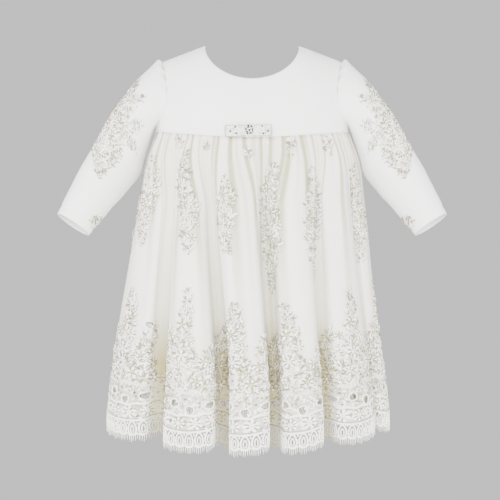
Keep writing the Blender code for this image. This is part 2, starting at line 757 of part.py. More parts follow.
def build_bow(collection, materials):
    """Two flat loops whose inner ends lie inside a knot, on the front of the waist seam."""
    centre = bpy.data.objects.new("bow", None)
    collection.objects.link(centre)
    seat = -CHEST_DEPTH[FRONT] - SEAM_GAP / 2 - SEAM_GAP
    centre.location = (BOW_X * MM, (seat - KNOT_DEPTH / 2) * MM, BOW_Z * MM)
    centre.rotation_euler = (0, BOW_TURN, 0)
    loop_middle = BOW_LOOP_LENGTH / 2 + SEAM_GAP
    for name, hand in (("bow_loop_left", 1), ("bow_loop_right", -1)):
        loop = band(name, BOW_LOOP_LENGTH, BOW_LOOP_DEPTH, RIBBON_WALL, BOW_HEIGHT, BOW_LOOP_DEPTH / 2,
                    collection, materials["ribbon"])
        loop.parent = centre
        loop.location = (hand * loop_middle * MM, 0, 0)
    knot = band("bow_knot", KNOT_HEIGHT, KNOT_DEPTH, RIBBON_WALL, KNOT_WIDTH, 1.8, collection, materials["ribbon"])
    knot.parent = centre
    knot.rotation_euler = (0, math.pi / 2, 0)


def build_buttons(collection, materials):
    """Three domed buttons down the centre back, a button turned as a profile about its own axis."""
    profile = [(0.0, BUTTON_DEPTH)]
    for step in range(1, 5):
        angle = math.radians(22.5 * step)
        profile.append((BUTTON_RADIUS * math.sin(angle), BUTTON_DEPTH * math.cos(angle)))
    profile.append((0.0, 0.0))
    for i, z in enumerate(BUTTON_HEIGHTS):
        name = f"button_{i + 1}"
        bm = bmesh.new()
        verts = [bm.verts.new((x * MM, 0, h * MM)) for x, h in profile]
        for a, b in zip(verts, verts[1:]):
            bm.edges.new((a, b))
        mesh = bpy.data.meshes.new(name)
        bm.to_mesh(mesh)
        bm.free()
        obj = add_object(name, mesh, collection, materials["pearl"])
        screw = obj.modifiers.new("turn", "SCREW")
        screw.steps = screw.render_steps = 12
        screw.use_merge_vertices = True
        screw.merge_threshold = 0.00001
        screw.use_smooth_shade = True
        here = np.zeros(1)
        height = np.array([z])
        slope = chest_y(here, height + 1, BACK)[0] - chest_y(here, height - 1, BACK)[0]
        y = chest_y(here, height, BACK)[0] + YOKE_WALL + SEAM_GAP * 2.5
        obj.location = (0, (y + 0.1) * MM, z * MM)
        obj.rotation_euler = (-math.pi / 2 + math.atan2(slope, -2.0) + math.pi, 0, 0)


def main():
    empty_scene()
    collection = bpy.data.collections.new("christening_gown")
    bpy.context.scene.collection.children.link(collection)
    materials = made_materials()
    build_yoke(collection, materials)
    build_sleeves(collection, materials)
    build_skirt(collection, materials)
    build_bow(collection, materials)
    build_buttons(collection, materials)


main()
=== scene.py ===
"""Christening gown dressed for its photograph: satin yoke and sleeves, embroidered net over a satin lining,
cutwork lace at the hem, bead and thread embroidery, and the bow. Sizes are in millimetres, turned to metres
once.
"""

import math

import bmesh
import bpy
import numpy as np
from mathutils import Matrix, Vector
from mathutils.geometry import delaunay_2d_cdt


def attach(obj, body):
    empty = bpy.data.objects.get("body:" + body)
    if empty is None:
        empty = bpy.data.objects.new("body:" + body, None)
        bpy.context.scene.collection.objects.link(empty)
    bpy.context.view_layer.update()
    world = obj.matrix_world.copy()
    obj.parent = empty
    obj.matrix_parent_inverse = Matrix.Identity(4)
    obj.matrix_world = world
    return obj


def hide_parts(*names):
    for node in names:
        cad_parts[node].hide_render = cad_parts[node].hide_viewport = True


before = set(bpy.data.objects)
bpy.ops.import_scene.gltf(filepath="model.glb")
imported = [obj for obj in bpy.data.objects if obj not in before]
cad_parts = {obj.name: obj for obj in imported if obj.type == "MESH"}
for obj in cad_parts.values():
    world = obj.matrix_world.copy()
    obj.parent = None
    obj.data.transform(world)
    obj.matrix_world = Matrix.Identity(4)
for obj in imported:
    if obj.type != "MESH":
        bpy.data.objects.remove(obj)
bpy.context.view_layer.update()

MM = 0.001
TURN = 2 * math.pi
FRONT = -1
BACK = 1

# The photograph: millimetres a pixel in the plane y = 0, its middle, and the camera's distance
MM_PER_PIXEL = 1.3
PHOTO_X0 = 252.0
PHOTO_Z0 = 46.0
PHOTO_SIZE = 500
CAMERA_X = -2.6
CAMERA_Z = -265.2
CAMERA_DISTANCE = 2000.0
BACKDROP = 0.85

# Form, as in the solids but for LOOPS
SEAM_GAP = 0.3
CHEST_HALF_WIDTH = 125.0
CHEST_DEPTH = {FRONT: 66.0, BACK: 58.0}
CHEST_SQUARENESS = 2.4
NECK_HALF_WIDTH = 61.0
NECK_DROP = {FRONT: 48.0, BACK: 38.0}
SHOULDER_TIP_X = 116.0
SHOULDER_TIP_Z = -20.8
SHOULDER_SLOPE = SHOULDER_TIP_Z / (SHOULDER_TIP_X - NECK_HALF_WIDTH)
ROUNDING_AT_NECK = 110.0
ROUNDING_AT_TIP = 70.0
WAIST_SIDE_Z = -112.0
WAIST_DIP = {FRONT: 10.0, BACK: 4.0}
NECK_SHARE = 5 / 8
SIDE_SEAM_SHARE = 0.061
YOKE_ROWS = (0.0, SIDE_SEAM_SHARE, 0.078, 0.115, 0.19, 0.31, 0.46, 0.62, 0.78, 0.91, 1.0)
LAP_SHARE = 0.036
LAP_FLAT_SHARE = 0.05
LAP_END_SHARE = 1 / 8
YOKE_WALL = 2.4

# Armhole, from the side seam up to the shoulder tip: distance from the centre, height
ARMHOLE = (
    (125.0, -112.0),
    (125.0, -106.0),
    (121.0, -102.5),
    (114.5, -95.5),
    (109.5, -83.0),
    (108.5, -62.0),
    (111.5, -40.0),
    (SHOULDER_TIP_X, SHOULDER_TIP_Z),
)

# Sleeve sections: outer x, outer z, inner x, inner z, half depth, centre y, turn of the section in degrees
SLEEVE = (
    (118.5, -19.5, 126.8, -109.0, 31.0, 0.0, 0.0),
    (124.5, -18.0, 129.0, -117.0, 35.0, -1.0, 1.0),
    (132.5, -26.0, 133.0, -130.0, 37.5, -3.0, 2.0),
    (145.2, -40.7, 137.5, -144.5, 38.5, -6.0, 3.0),
    (165.0, -67.7, 143.0, -163.5, 38.0, -11.0, 5.0),
    (179.0, -87.9, 149.8, -175.2, 36.5, -16.0, 7.0),
    (198.0, -121.3, 162.0, -191.0, 33.0, -23.0, 9.0),
    (211.6, -146.2, 174.0, -204.9, 30.0, -29.0, 11.0),
    (229.8, -181.5, 190.0, -223.8, 26.0, -36.0, 13.0),
    (247.6, -220.0, 207.5, -245.5, 21.5, -42.0, 14.0),
)
PUFF = 4.5
PUFF_AT = 0.075
PUFF_LENGTH = 0.05
SLEEVE_HEAD = 0.22
SLEEVE_LENGTH = 245.0

# Skirt outline, its folds' outer edge: height, half width, front depth, back depth
SKIRT = (
    (-112.0, 125.0, 66.0, 58.0),
    (-125.0, 131.5, 75.0, 66.0),
    (-145.0, 139.5, 85.0, 75.0),
    (-165.0, 144.0, 93.0, 82.0),
    (-190.0, 147.5, 101.0, 88.0),
    (-230.0, 153.0, 109.0, 95.0),
    (-283.0, 159.5, 117.0, 103.0),
    (-330.0, 166.0, 123.0, 109.0),
    (-382.0, 173.5, 129.0, 115.0),
    (-430.0, 180.5, 134.0, 120.0),
    (-475.0, 185.0, 137.0, 123.0),
    (-520.0, 186.5, 138.0, 124.0),
)
SKIRT_SWAY = -7.0
NET_HEM_SIDE_Z = -427.0
NET_HEM_DIP = {FRONT: 17.0, BACK: 9.0}
NET_DROP = WAIST_SIDE_Z - NET_HEM_SIDE_Z

# Folds of the skirt, one row a valley, anticlockwise from the wearer's right side seam:
# angle at the waist, angle at the hem, depth at the hem, how far the sides lap, how far before it the cusp of
# its scallop comes
FOLDS = (
    (-90.0, -90.0, 16.0, 0.6, 0.0),
    (-46.0, -39.0, 24.0, 0.95, 0.03),
    (-24.0, -9.5, 38.0, 1.1, 0.2),
    (6.0, 12.0, 38.0, 1.05, 0.2),
    (36.0, 35.5, 24.0, 0.8, 0.1),
    (66.0, 70.0, 22.0, 0.6, 0.05),
    (92.0, 92.0, 16.0, 0.6, 0.0),
    (116.0, 118.0, 24.0, 0.7, 0.02),
    (143.0, 142.0, 32.0, 0.9, 0.05),
    (168.0, 166.0, 26.0, 0.8, 0.0),
    (194.0, 193.0, 34.0, 0.95, 0.04),
    (221.0, 218.0, 24.0, 0.7, 0.0),
    (245.0, 243.0, 28.0, 0.8, 0.03),
)
FRONT_FOLDS = 6
ALL_FOLDS = len(FOLDS)
HALVES = (("front", 0, FRONT_FOLDS), ("back", FRONT_FOLDS, ALL_FOLDS))
HANDS = (("left", 1), ("right", -1))
# How far short of a side seam each half ends, as a share of a fold
SEAM_INSET = 0.002
VALLEY_NARROWING = 0.75
GATHERS_PER_FOLD = 3
NET_WALL = 1.0

# How the folds and the gathers change down the skirt: share of the drop, share of fold depth, gather depth
DROP = (
    (0.0, 0.03, 0.3),
    (0.03, 0.10, 2.4),
    (0.10, 0.22, 3.4),
    (0.25, 0.45, 3.0),
    (0.45, 0.68, 1.6),
    (0.70, 0.86, 0.3),
    (1.0, 1.0, 0.0),
    (1.3, 1.05, 0.0),
)
LINING_END = 0.965
LINING_INSET_TOP = 0.4
LINING_INSET_HEM = 2.6

# Lace border, one scallop a fold, in millimetres of cloth below the net's hem. The solids have seven loops a
# scallop, and nine are as fine as the photograph's.
SCALLOP_WIDTH = 90.0
LOOPS = 9
EDGE_AT_CUSP = 50.0
EDGE_AT_MIDDLE = 60.5
ARC_AT_CUSP = 32.0
ARC_AT_MIDDLE = 45.0
LOOP_BULGE = 3.0
SCALLOP_FULLNESS = 0.75

rng = np.random.default_rng(12)


def unit(vectors):
    """Vectors scaled to length 1."""
    return vectors / np.maximum(np.linalg.norm(vectors, axis=1), 1e-9)[:, None]


def run_along(points):
    """How far along a line of points each of them lies."""
    return np.concatenate([[0], np.cumsum(np.linalg.norm(np.diff(points, axis=0), axis=1))])


def bump(t, width):
    """A soft rise of height 1 about 0."""
    return np.exp(-(t / width) ** 2)


def signed_power(value, power):
    """The power of a value's size, with the value's own sign."""
    return np.sign(value) * np.abs(value) ** power


def smooth(t):
    """0 to 1 with a soft start and end."""
    t = np.clip(t, 0.0, 1.0)
    return t * t * (3 - 2 * t)


def column_of(table, column, at):
    """A table's column, read at any value of its first column."""
    rows = np.array(table, float)
    order = np.argsort(rows[:, 0])
    return np.interp(at, rows[order, 0], rows[order, column])


def through(points, t):
    """A smooth curve (Catmull-Rom) through the points, read at t from 0 to 1."""
    points = np.array(points, float)
    ends = np.vstack([2 * points[0] - points[1], points, 2 * points[-1] - points[-2]])
    place = np.clip(np.asarray(t, float), 0, 1) * (len(points) - 1)
    first = np.minimum(place.astype(int), len(points) - 2)
    f = (place - first)[:, None]
    a, b, c, d = (ends[first + i] for i in range(4))
    return 0.5 * (2 * b + (c - a) * f + (2 * a - 5 * b + 4 * c - d) * f**2 + (3 * b - a - 3 * c + d) * f**3)


def evenly(points):
    """The same smooth curve as a function of the share of its length."""
    fine = through(points, np.linspace(0, 1, 400))
    run = run_along(fine)
    return lambda t: np.stack([np.interp(t, run / run[-1], fine[:, i]) for i in range(fine.shape[1])], 1)


# Yoke

armhole_line = evenly(ARMHOLE)


def armhole_edge(t):
    """The armhole's line, never past the side seam."""
    line = armhole_line(t)
    return np.stack([np.minimum(line[:, 0], CHEST_HALF_WIDTH), line[:, 1]], 1)


def waist_z(x, face):
    """Height of the waist seam, lower at the centre."""
    return WAIST_SIDE_Z - WAIST_DIP[face] * (1 - np.clip(np.abs(x) / CHEST_HALF_WIDTH, 0, 1) ** 2)


def neck_and_shoulder(s, face):
    """The yoke's top edge: an elliptical neckline, then a straight shoulder seam."""
    share = np.abs(s)
    angle = np.clip(share / NECK_SHARE, 0, 1) * math.pi / 2
    along = np.clip((share - NECK_SHARE) / (1 - NECK_SHARE), 0, 1)
    x = NECK_HALF_WIDTH * np.sin(angle) + (SHOULDER_TIP_X - NECK_HALF_WIDTH) * along
    z = -NECK_DROP[face] * np.cos(angle) + SHOULDER_TIP_Z * along
    return np.stack([np.sign(s) * x, z], 1)


def yoke_outline(s, v, face):
    """A point of the flat yoke: s from side to side, v from the waist seam up, its edges the real ones."""

    def waist(at):
        x = CHEST_HALF_WIDTH * np.sin(at * math.pi / 2)
        return np.stack([x, waist_z(x, face)], 1)

    def side(at, hand):
        return armhole_edge(at) * [hand, 1]

    ones = np.ones_like(s)
    share = ((s + 1) / 2)[:, None]
    rise = v[:, None]
    ruled = (1 - rise) * waist(s) + rise * neck_and_shoulder(s, face)
    sides = (1 - share) * side(v, -1) + share * side(v, 1)
    left = (1 - rise) * waist(-ones) + rise * neck_and_shoulder(-ones, face)
    right = (1 - rise) * waist(ones) + rise * neck_and_shoulder(ones, face)
    return ruled + sides - (1 - share) * left - share * right


def section(x):
    """Share of the chest's depth that is left at x."""
    return (1 - np.clip(np.abs(x) / CHEST_HALF_WIDTH, 0, 1) ** CHEST_SQUARENESS) ** (1 / CHEST_SQUARENESS)


def chest_y(x, z, face):
    """Depth of the chest at a point of the yoke, rounding over to the shoulder seam at y = 0."""
    shoulder = SHOULDER_SLOPE * np.maximum(np.abs(x) - NECK_HALF_WIDTH, 0)
    reach = np.clip(np.abs(x) / SHOULDER_TIP_X, 0, 1)
    rounding = ROUNDING_AT_NECK + (ROUNDING_AT_TIP - ROUNDING_AT_NECK) * reach
    fall = np.clip((shoulder - z) / rounding, 0, 1)
    return face * CHEST_DEPTH[face] * section(x) * np.sqrt(1 - (1 - fall) ** 2)


def yoke_surface(face, lap=0.0):
    """The outer side of a front or back yoke. lap lifts the edge of the over half at the centre back."""

    def at(s, v):
        flat = yoke_outline(s, v, face)
        x, z = flat[:, 0], flat[:, 1]
        lifted = lap * np.clip((LAP_END_SHARE - s) / (LAP_END_SHARE - LAP_FLAT_SHARE), 0, 1)
        y = chest_y(x, z, face) + face * (lifted + SEAM_GAP / 2)
        return np.stack([x, y, z], 1)

    return at


# Sleeves

sleeve_sections = evenly(SLEEVE)


def normals(surface, a, b, sign, limits):
    """Unit normals of a surface, by differences that stay inside its limits (low, high and step each way)."""
    (low_a, high_a, step_a), (low_b, high_b, step_b) = limits
    across = surface(np.minimum(a + step_a, high_a), b) - surface(np.maximum(a - step_a, low_a), b)
    down = surface(a, np.minimum(b + step_b, high_b)) - surface(a, np.maximum(b - step_b, low_b))
    return unit(sign * np.cross(across, down))


def armhole_loop(alpha):
    """The armhole's seam line on the wearer's left (+X): shoulder tip, front, underarm, back."""
    alpha = np.mod(alpha, 1.0)
    to_front = alpha <= 0.5
    share = np.where(to_front, 1 - alpha / 0.5, (alpha - 0.5) / 0.5)
    rows = np.array(YOKE_ROWS[1:])
    v = np.interp(share, np.linspace(0, 1, len(rows)), rows)
    flat = armhole_edge(v)
    x, z = flat[:, 0], flat[:, 1]
    y = np.where(to_front, chest_y(x, z, FRONT), chest_y(x, z, BACK))
    return np.stack([x, y, z], 1)


def off_the_yoke(alpha):
    """The armhole's seam line moved a seam's gap away from the yoke, along the yoke's own surface."""
    step = 0.012
    here = armhole_loop(alpha)
    along = armhole_loop(alpha + step) - armhole_loop(alpha - step)
    front = np.sin(TURN * alpha)
    steep = (here[:, 0] / CHEST_HALF_WIDTH) ** 2
    out = np.stack([steep, -0.8 * front * (1 - 0.4 * steep), 0.9 * np.clip(np.cos(TURN * alpha), 0, 1)], 1)
    return here + 1.5 * SEAM_GAP * unit(np.cross(out, along))


def sleeve_surface(hand):
    """The outer side of a sleeve: alpha round it from the top, w from the armhole to the cuff."""

    def at(alpha, w):
        rows = sleeve_sections(w)
        outer, inner = rows[:, 0:2], rows[:, 2:4]
        centre, half = (outer + inner) / 2, (outer - inner) / 2
        turn = np.radians(rows[:, 6])
        c, s = np.cos(TURN * alpha), np.sin(TURN * alpha)
        x = centre[:, 0] + c * half[:, 0]
        y = rows[:, 5] - s * rows[:, 4] * np.cos(turn)
        z = centre[:, 1] + c * half[:, 1] + s * rows[:, 4] * np.sin(turn)
        puff = PUFF * bump(w - PUFF_AT, PUFF_LENGTH) * smooth((c + 0.2) / 0.9)
        round_section = np.stack([x, y, z], 1)
        share = smooth(w / SLEEVE_HEAD)[:, None]
        p = off_the_yoke(alpha) * (1 - share) + round_section * share
        p = p + (puff * smooth(w / 0.03))[:, None] * [0.35, 0.0, 0.94]
        middle = np.stack([centre[:, 0], rows[:, 5], centre[:, 1]], 1)
        p = p + unit(middle - p) * sleeve_creases(alpha, w)[:, None]
        return p * [hand, 1, 1]

    return at


# Long soft creases of a sleeve: depth, place round it, how that wanders to the cuff, width, and as shares of
# the length where each has begun and where it ends
SLEEVE_CREASES = (
    (1.6, 0.235, 0.06, 0.03, 0.1, 0.62),
    (1.1, 0.33, -0.1, 0.035, 0.2, 0.8),
    (1.5, 0.47, 0.0, 0.05, 0.1, 0.5),
)
HEAD_GATHERS = 17
CUFF_STITCHING = 0.955


def sleeve_creases(alpha, w):
    """How deep the sleeve's creases are, in millimetres: small gathers at the head, long soft folds below."""
    head = bump(w - 0.03, 0.05) * smooth((np.cos(TURN * alpha) + 0.2) / 0.8)
    total = 0.7 * head * (1 + np.cos(TURN * HEAD_GATHERS * alpha)) + 0.5 * bump(w, 0.008)
    for depth, middle, wander, width, begun, end in SLEEVE_CREASES:
        crease = bump(alpha - middle - wander * w, width) * smooth(w / begun) * smooth((end - w) / 0.3)
        total = total + depth * crease
    elbow = 0.35 * (1 + np.sin(TURN * (5.0 * w + 1.3 * alpha)))
    elbow = elbow * smooth((w - 0.3) / 0.3) * smooth((1 - w) / 0.3)
    return total + elbow + 0.8 * bump(w - CUFF_STITCHING, 0.006)


# Skirt

def fold_table():
    """The folds' rows continued once round each way, so that they can be read past the side seam."""
    rows = np.array(FOLDS, float)
    turn = np.array([360.0, 360.0, 0, 0, 0])
    return np.vstack([rows - turn, rows, rows + turn])


def fold_column(column, p):
    """A column of the folds at p, soft between the valleys; p counts valleys and may pass the side seam."""
    rows = fold_table()[:, column]
    place = np.asarray(p, float) + ALL_FOLDS
    first = np.floor(place).astype(int)
    f = place - first
    if column > 1:
        f = smooth(f)
    return rows[first] * (1 - f) + rows[first + 1] * f


def skirt_surface(gathers=1.0, fine=0.0):
    """The net's outer side: p counts folds round the skirt, v is the share of the drop from waist to hem."""

    def at(p, v):
        phase = TURN * p
        depth = column_of(DROP, 1, v)
        lap = fold_column(3, p) * smooth(v / 0.6)
        q = p - VALLEY_NARROWING * smooth(v / 0.3) / TURN * np.sin(phase)
        q = q + lap / (4 * math.pi) * np.sin(2 * phase)
        lean = smooth(v)
        theta = np.radians(fold_column(0, q) * (1 - lean) + fold_column(1, q) * lean)
        frontness = np.cos(theta)
        top, hem = (
            side_z - np.where(frontness > 0, dip[FRONT], dip[BACK]) * frontness**2
            for side_z, dip in ((WAIST_SIDE_Z, WAIST_DIP), (NET_HEM_SIDE_Z, NET_HEM_DIP))
        )
        z = top - SEAM_GAP + (hem - top) * v
        level = np.where(v < 1e-6, WAIST_SIDE_Z, z - (top - WAIST_SIDE_Z) * (1 - v))
        width = column_of(SKIRT, 1, level)
        length = np.where(frontness > 0, column_of(SKIRT, 2, level), column_of(SKIRT, 3, level))
        power = 2 / (CHEST_SQUARENESS + (2.0 - CHEST_SQUARENESS) * smooth(v / 0.3))
        x = width * signed_power(np.sin(theta), power)
        y = -length * signed_power(frontness, power)
        out = unit(np.stack([x / width**2, y / length**2], 1))
        inset = fold_column(2, p) * depth * (1 + np.cos(phase)) / 2
        inset = inset + gathers * column_of(DROP, 2, v) * (1 + np.cos(GATHERS_PER_FOLD * phase)) / 2
        if fine:
            inset = inset + fine * fine_gathers(p, v)
        sway = SKIRT_SWAY * smooth(v / 0.9)
        return np.stack([x - out[:, 0] * inset + sway, y - out[:, 1] * inset, z], 1)

    return at


def fine_gathers(p, v):
    """Small uneven pleats of the net below the seam, in millimetres, that fade on the way down."""
    phase = TURN * p
    fade = smooth(v / 0.02) * (1 - smooth(v / 0.5))
    wander = 0.6 * np.sin(1.7 * phase + 1.3) + 0.5 * np.sin(0.63 * phase)
    pleats = 0.55 * (1 + np.sin(7 * phase + 3 * wander))
    pleats = pleats + 0.4 * (1 + np.sin(11 * phase + 5 * wander + 2.0 * v))
    return fade * pleats


def lining_inset(v):
    """How far the lining's outer side lies inside the net's, clear of the gathers."""
    slack = LINING_INSET_TOP + (LINING_INSET_HEM - LINING_INSET_TOP) * smooth(v / 0.2)
    return NET_WALL + slack + column_of(DROP, 2, v)


SKIRT_LIMITS = ((-1.0, 14.0, 0.012), (0.0, 1.25, 0.001))
net_surface = skirt_surface(fine=1.0)


def lining_surface(p, v):
    plain = skirt_surface(gathers=0.0)
    return plain(p, v) - normals(plain, p, v, -1, SKIRT_LIMITS) * lining_inset(v)[:, None]


def scallops_to_folds():
    """A scallop count as a fold count, with every scallop evenly spaced along the cloth."""
    fine = np.linspace(0, ALL_FOLDS, 240 * ALL_FOLDS + 1)
    ring = skirt_surface()(fine, np.full_like(fine, 1.1))
    run = run_along(ring)
    cusps = np.array([i - row[4] for i, row in enumerate(FOLDS)] + [ALL_FOLDS])
    starts = np.interp(cusps, fine, run)
    counts = np.arange(ALL_FOLDS + 1)
    return lambda s: np.interp(np.interp(s, counts, starts), run, fine)


place_of_scallop = scallops_to_folds()


def lace_surface(s, t):
    """The border's outer side: s counts scallops round the hem, t is millimetres below the net's hem."""
    v = 1 + np.where(t > 0, t + SEAM_GAP, t) / NET_DROP
    return net_surface(place_of_scallop(s), v)


LACE_LIMITS = ((0.0, float(ALL_FOLDS), 0.012), (-300.0, 75.0, 0.3))


def scallop_line(u, at_cusp, at_middle):
    """A scallop's arc: how far down it is at share u of the scallop."""
    return at_cusp + (at_middle - at_cusp) * np.sin(math.pi * np.mod(u, 1.0)) ** SCALLOP_FULLNESS


def arc_line(u):
    """The arc above the loops."""
    return scallop_line(u, ARC_AT_CUSP, ARC_AT_MIDDLE)


def lace_edge(u):
    """The border's lower edge: a big scallop with a small one for each loop."""
    small = LOOP_BULGE * np.abs(np.sin(LOOPS * math.pi * np.mod(u, 1.0))) ** 0.8
    return scallop_line(u, EDGE_AT_CUSP, EDGE_AT_MIDDLE) + small


# Meshes

def band_faces(rows, columns, closed=True):
    """Quads of a grid of points; a closed grid joins each row's last point to its first."""
    faces = []
    for row in range(0, (rows - 1) * columns, columns):
        for c in range(columns if closed else columns - 1):
            right = (c + 1) % columns
            faces.append((row + c, row + right, row + columns + right, row + columns + c))
    return faces


def directions(line, closed):
    """Which way a line of points runs at each of them."""
    ahead = np.roll(line, -1, 0) if closed else np.vstack([line[1:], 2 * line[-1] - line[-2]])
    behind = np.roll(line, 1, 0) if closed else np.vstack([2 * line[0] - line[1], line[:-1]])
    return unit(ahead - behind)


def new_mesh(name, points, faces, material, shade=None, soft=True):
    """A mesh from points in millimetres; shade is how much painted shade each of them takes, 0 to 1, mostly
    by how deep in a fold it lies.
    """
    mesh = bpy.data.meshes.new(name)
    mesh.from_pydata((points * MM).tolist(), [], faces)
    if soft:
        mesh.shade_smooth()
    if shade is not None:
        mesh.attributes.new("shade", "FLOAT", "POINT").data.foreach_set("value", shade.astype(np.float32))
    mesh.materials.append(MATERIALS[material])
    return mesh


def finish_piece(mesh, own_node=False, wall=0.0, offset=-1.0):
    """Show a mesh as a piece, in place of the node that its name starts with if that is its own."""
    obj = bpy.data.objects.new(mesh.name, mesh)
    if wall:
        solid = obj.modifiers.new("wall", "SOLIDIFY")
        solid.thickness = wall * MM
        solid.offset = offset
        solid.use_rim = True
    bpy.context.scene.collection.objects.link(obj)
    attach(obj, "root")
    if own_node:
        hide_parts(mesh.name.rsplit("_", 1)[0])


def cloth_uv(mesh, corners, rows, columns, closed):
    """Lay the weave out along the cloth: both directions of the UV map count tenths of a metre of cloth."""
    table = corners.reshape(rows, columns, 3)
    if closed:
        table = np.concatenate([table, table[:, :1]], axis=1)
    along = np.linalg.norm(np.diff(table, axis=1), axis=2)
    down = np.linalg.norm(np.diff(table, axis=0), axis=2)
    u = np.concatenate([np.zeros((rows, 1)), np.cumsum(along, axis=1)], axis=1)
    u = u - u[:, u.shape[1] // 2][:, None]
    v = np.concatenate([np.zeros((1, table.shape[1])), np.cumsum(down, axis=0)], axis=0)
    layer = mesh.uv_layers.new(name="cloth")
    index = np.empty(len(mesh.loops), dtype=np.int32)
    mesh.loops.foreach_get("vertex_index", index)
    row, column = index // columns, index % columns
    if closed:
        first = index.reshape(-1, 4) % columns
        wraps = (first.min(axis=1) == 0) & (first.max(axis=1) == columns - 1)
        column = np.where(np.repeat(wraps, 4) & (column == 0), columns, column)
    uv = np.stack([u[row, column], v[row, column]], axis=1) / 100.0
    layer.data.foreach_set("uv", uv.ravel())


def grid_piece(name, a_values, b_values, surface, material, closed=False, wall=0.0, shade=None,
               flip=False):
    """A sheet of cloth from a surface function, on a grid of its two parameters."""
    a, b = (grid.ravel() for grid in np.meshgrid(a_values, b_values))
    corners = surface(a, b)
    rows, columns = len(b_values), len(a_values)
    faces = band_faces(rows, columns, closed)
    if flip:
        faces = [face[::-1] for face in faces]
    mesh = new_mesh(name, corners, faces, material, None if shade is None else shade(a, b))
    cloth_uv(mesh, corners, rows, columns, closed)
    finish_piece(mesh, True, wall)


# Materials

def shader_node(tree, kind, vector=None, **inputs):
    node = tree.nodes.new(kind)
    for name, value in inputs.items():
        node.inputs[name.replace("_", " ")].default_value = value
    if vector is not None:
        tree.links.new(vector, node.inputs["Vector"])
    return node


def new_material(name, colour, roughness, sheen=0.0, metallic=0.0, coat=0.0):
    material = bpy.data.materials.new(name)
    material.use_nodes = True
    tree = material.node_tree
    principled = tree.nodes["Principled BSDF"]
    look = {"Base Color": (*colour, 1.0), "Roughness": roughness, "Metallic": metallic, "Coat Weight": coat,
            "Sheen Weight": sheen, "Sheen Roughness": 0.5}
    for title, value in look.items():
        principled.inputs[title].default_value = value
    return material, tree, principled


def threads(tree, scale_u, scale_v):
    """The cloth's own UV map, and a weave's warp and weft laid out by it, each 0 to 1."""
    uv = tree.nodes.new("ShaderNodeTexCoord").outputs["UV"]
    waves = []
    for scale, direction in ((scale_u, "X"), (scale_v, "Y")):
        wave = shader_node(tree, "ShaderNodeTexWave", uv, Scale=scale, Distortion=0.4, Detail=1.0,
                           Detail_Scale=2.0)
        wave.bands_direction = direction
        waves.append(wave.outputs["Fac"])
    return uv, *waves


def math_node(tree, operation, a, b):
    node = tree.nodes.new("ShaderNodeMath")
    node.operation = operation
    for socket, value in zip(node.inputs, (a, b)):
        if isinstance(value, (int, float)):
            socket.default_value = value
        else:
            tree.links.new(value, socket)
    return node.outputs[0]


def blended(tree, share, a, b):
    """A colour between a and b by a share."""
    mix = tree.nodes.new("ShaderNodeMix")
    mix.data_type = "RGBA"
    tree.links.new(share, mix.inputs[0])
    for socket, value in zip((mix.inputs[6], mix.inputs[7]), (a, b)):
        if isinstance(value, tuple):
            socket.default_value = (*value, 1.0)
        else:
            tree.links.new(value, socket)
    return mix.outputs[2]


def bumped(tree, principled, height, strength, distance):
    bump = shader_node(tree, "ShaderNodeBump", Strength=strength, Distance=distance)
    tree.links.new(height, bump.inputs["Height"])
    tree.links.new(bump.outputs["Normal"], principled.inputs["Normal"])


def toned(tree, principled, tone, deep=None):
    """Give a material its tone; deep is the colour of the painted shade it turns to where the shade attribute
    is full.
    """
    if deep:
        shade = tree.nodes.new("ShaderNodeAttribute")
        shade.attribute_name = "shade"
        tone = blended(tree, shade.outputs["Fac"], tone, deep)
    tree.links.new(tone, principled.inputs["Base Color"])


def satin_material(name, colour, shaded, roughness, sheen, deep=None):
    """A fine plain weave with a soft sheen and slightly uneven tone; deep, where given, is its painted shade
    colour in the folds.
    """
    material, tree, principled = new_material(name, colour, roughness, sheen)
    uv, warp, weft = threads(tree, 110.0, 130.0)
    noise = shader_node(tree, "ShaderNodeTexNoise", uv, Scale=14.0, Detail=6.0, Roughness=0.6).outputs["Fac"]
    toned(tree, principled, blended(tree, noise, shaded, colour), deep)
    weave = math_node(tree, "MULTIPLY", math_node(tree, "ADD", warp, weft), 0.5)
    bumped(tree, principled, math_node(tree, "ADD", weave, noise), 0.25, 0.0004)
    return material


def net_material(name, colour, deep, cover):
    """Sheer net: fine threads over gaps, so that its cover is a share of the surface; painted shade turns it
    darker and warmer in the folds.
    """
    material, tree, principled = new_material(name, colour, 0.75, 0.2)
    uv, warp, weft = threads(tree, 70.0, 70.0)
    thread = math_node(tree, "MAXIMUM", warp, weft)
    noise = shader_node(tree, "ShaderNodeTexNoise", uv, Scale=30.0, Detail=4.0, Roughness=0.6).outputs["Fac"]
    low = math_node(tree, "MULTIPLY", thread, 0.5)
    alpha = math_node(tree, "ADD", low, math_node(tree, "MULTIPLY", noise, 0.25))
    clamp = tree.nodes.new("ShaderNodeClamp")
    tree.links.new(math_node(tree, "ADD", alpha, cover - 0.45), clamp.inputs["Value"])
    tree.links.new(clamp.outputs[0], principled.inputs["Alpha"])
    toned(tree, principled, colour, deep)
    bumped(tree, principled, thread, 0.2, 0.0003)
    return material


# Painted shade in the folds: what it leaves of a thread's red, green and blue where it is full
PAINTED_FOLD_SHADE_SHARE = (0.36, 0.33, 0.2)


def thread_material(name, colour, shaded, roughness=0.6, sheen=0.3, metallic=0.0):
    """Embroidery thread: close stitches that vary a little from thread to thread, with painted shade, darker
    and warmer, in the folds.
    """
    material, tree, principled = new_material(name, colour, roughness, sheen, metallic)
    place = tree.nodes.new("ShaderNodeTexCoord").outputs["Object"]
    wave = shader_node(tree, "ShaderNodeTexWave", place, Scale=900.0, Distortion=3.0, Detail=2.0,
                       Detail_Scale=1.5)
    noise = shader_node(tree, "ShaderNodeTexNoise", place, Scale=350.0, Detail=3.0, Roughness=0.6)
    deep = tuple(channel * share for channel, share in zip(colour, PAINTED_FOLD_SHADE_SHARE))
    toned(tree, principled, blended(tree, noise.outputs["Fac"], shaded, colour), deep)
    bumped(tree, principled, wave.outputs["Fac"], 0.5, 0.0003)
    return material


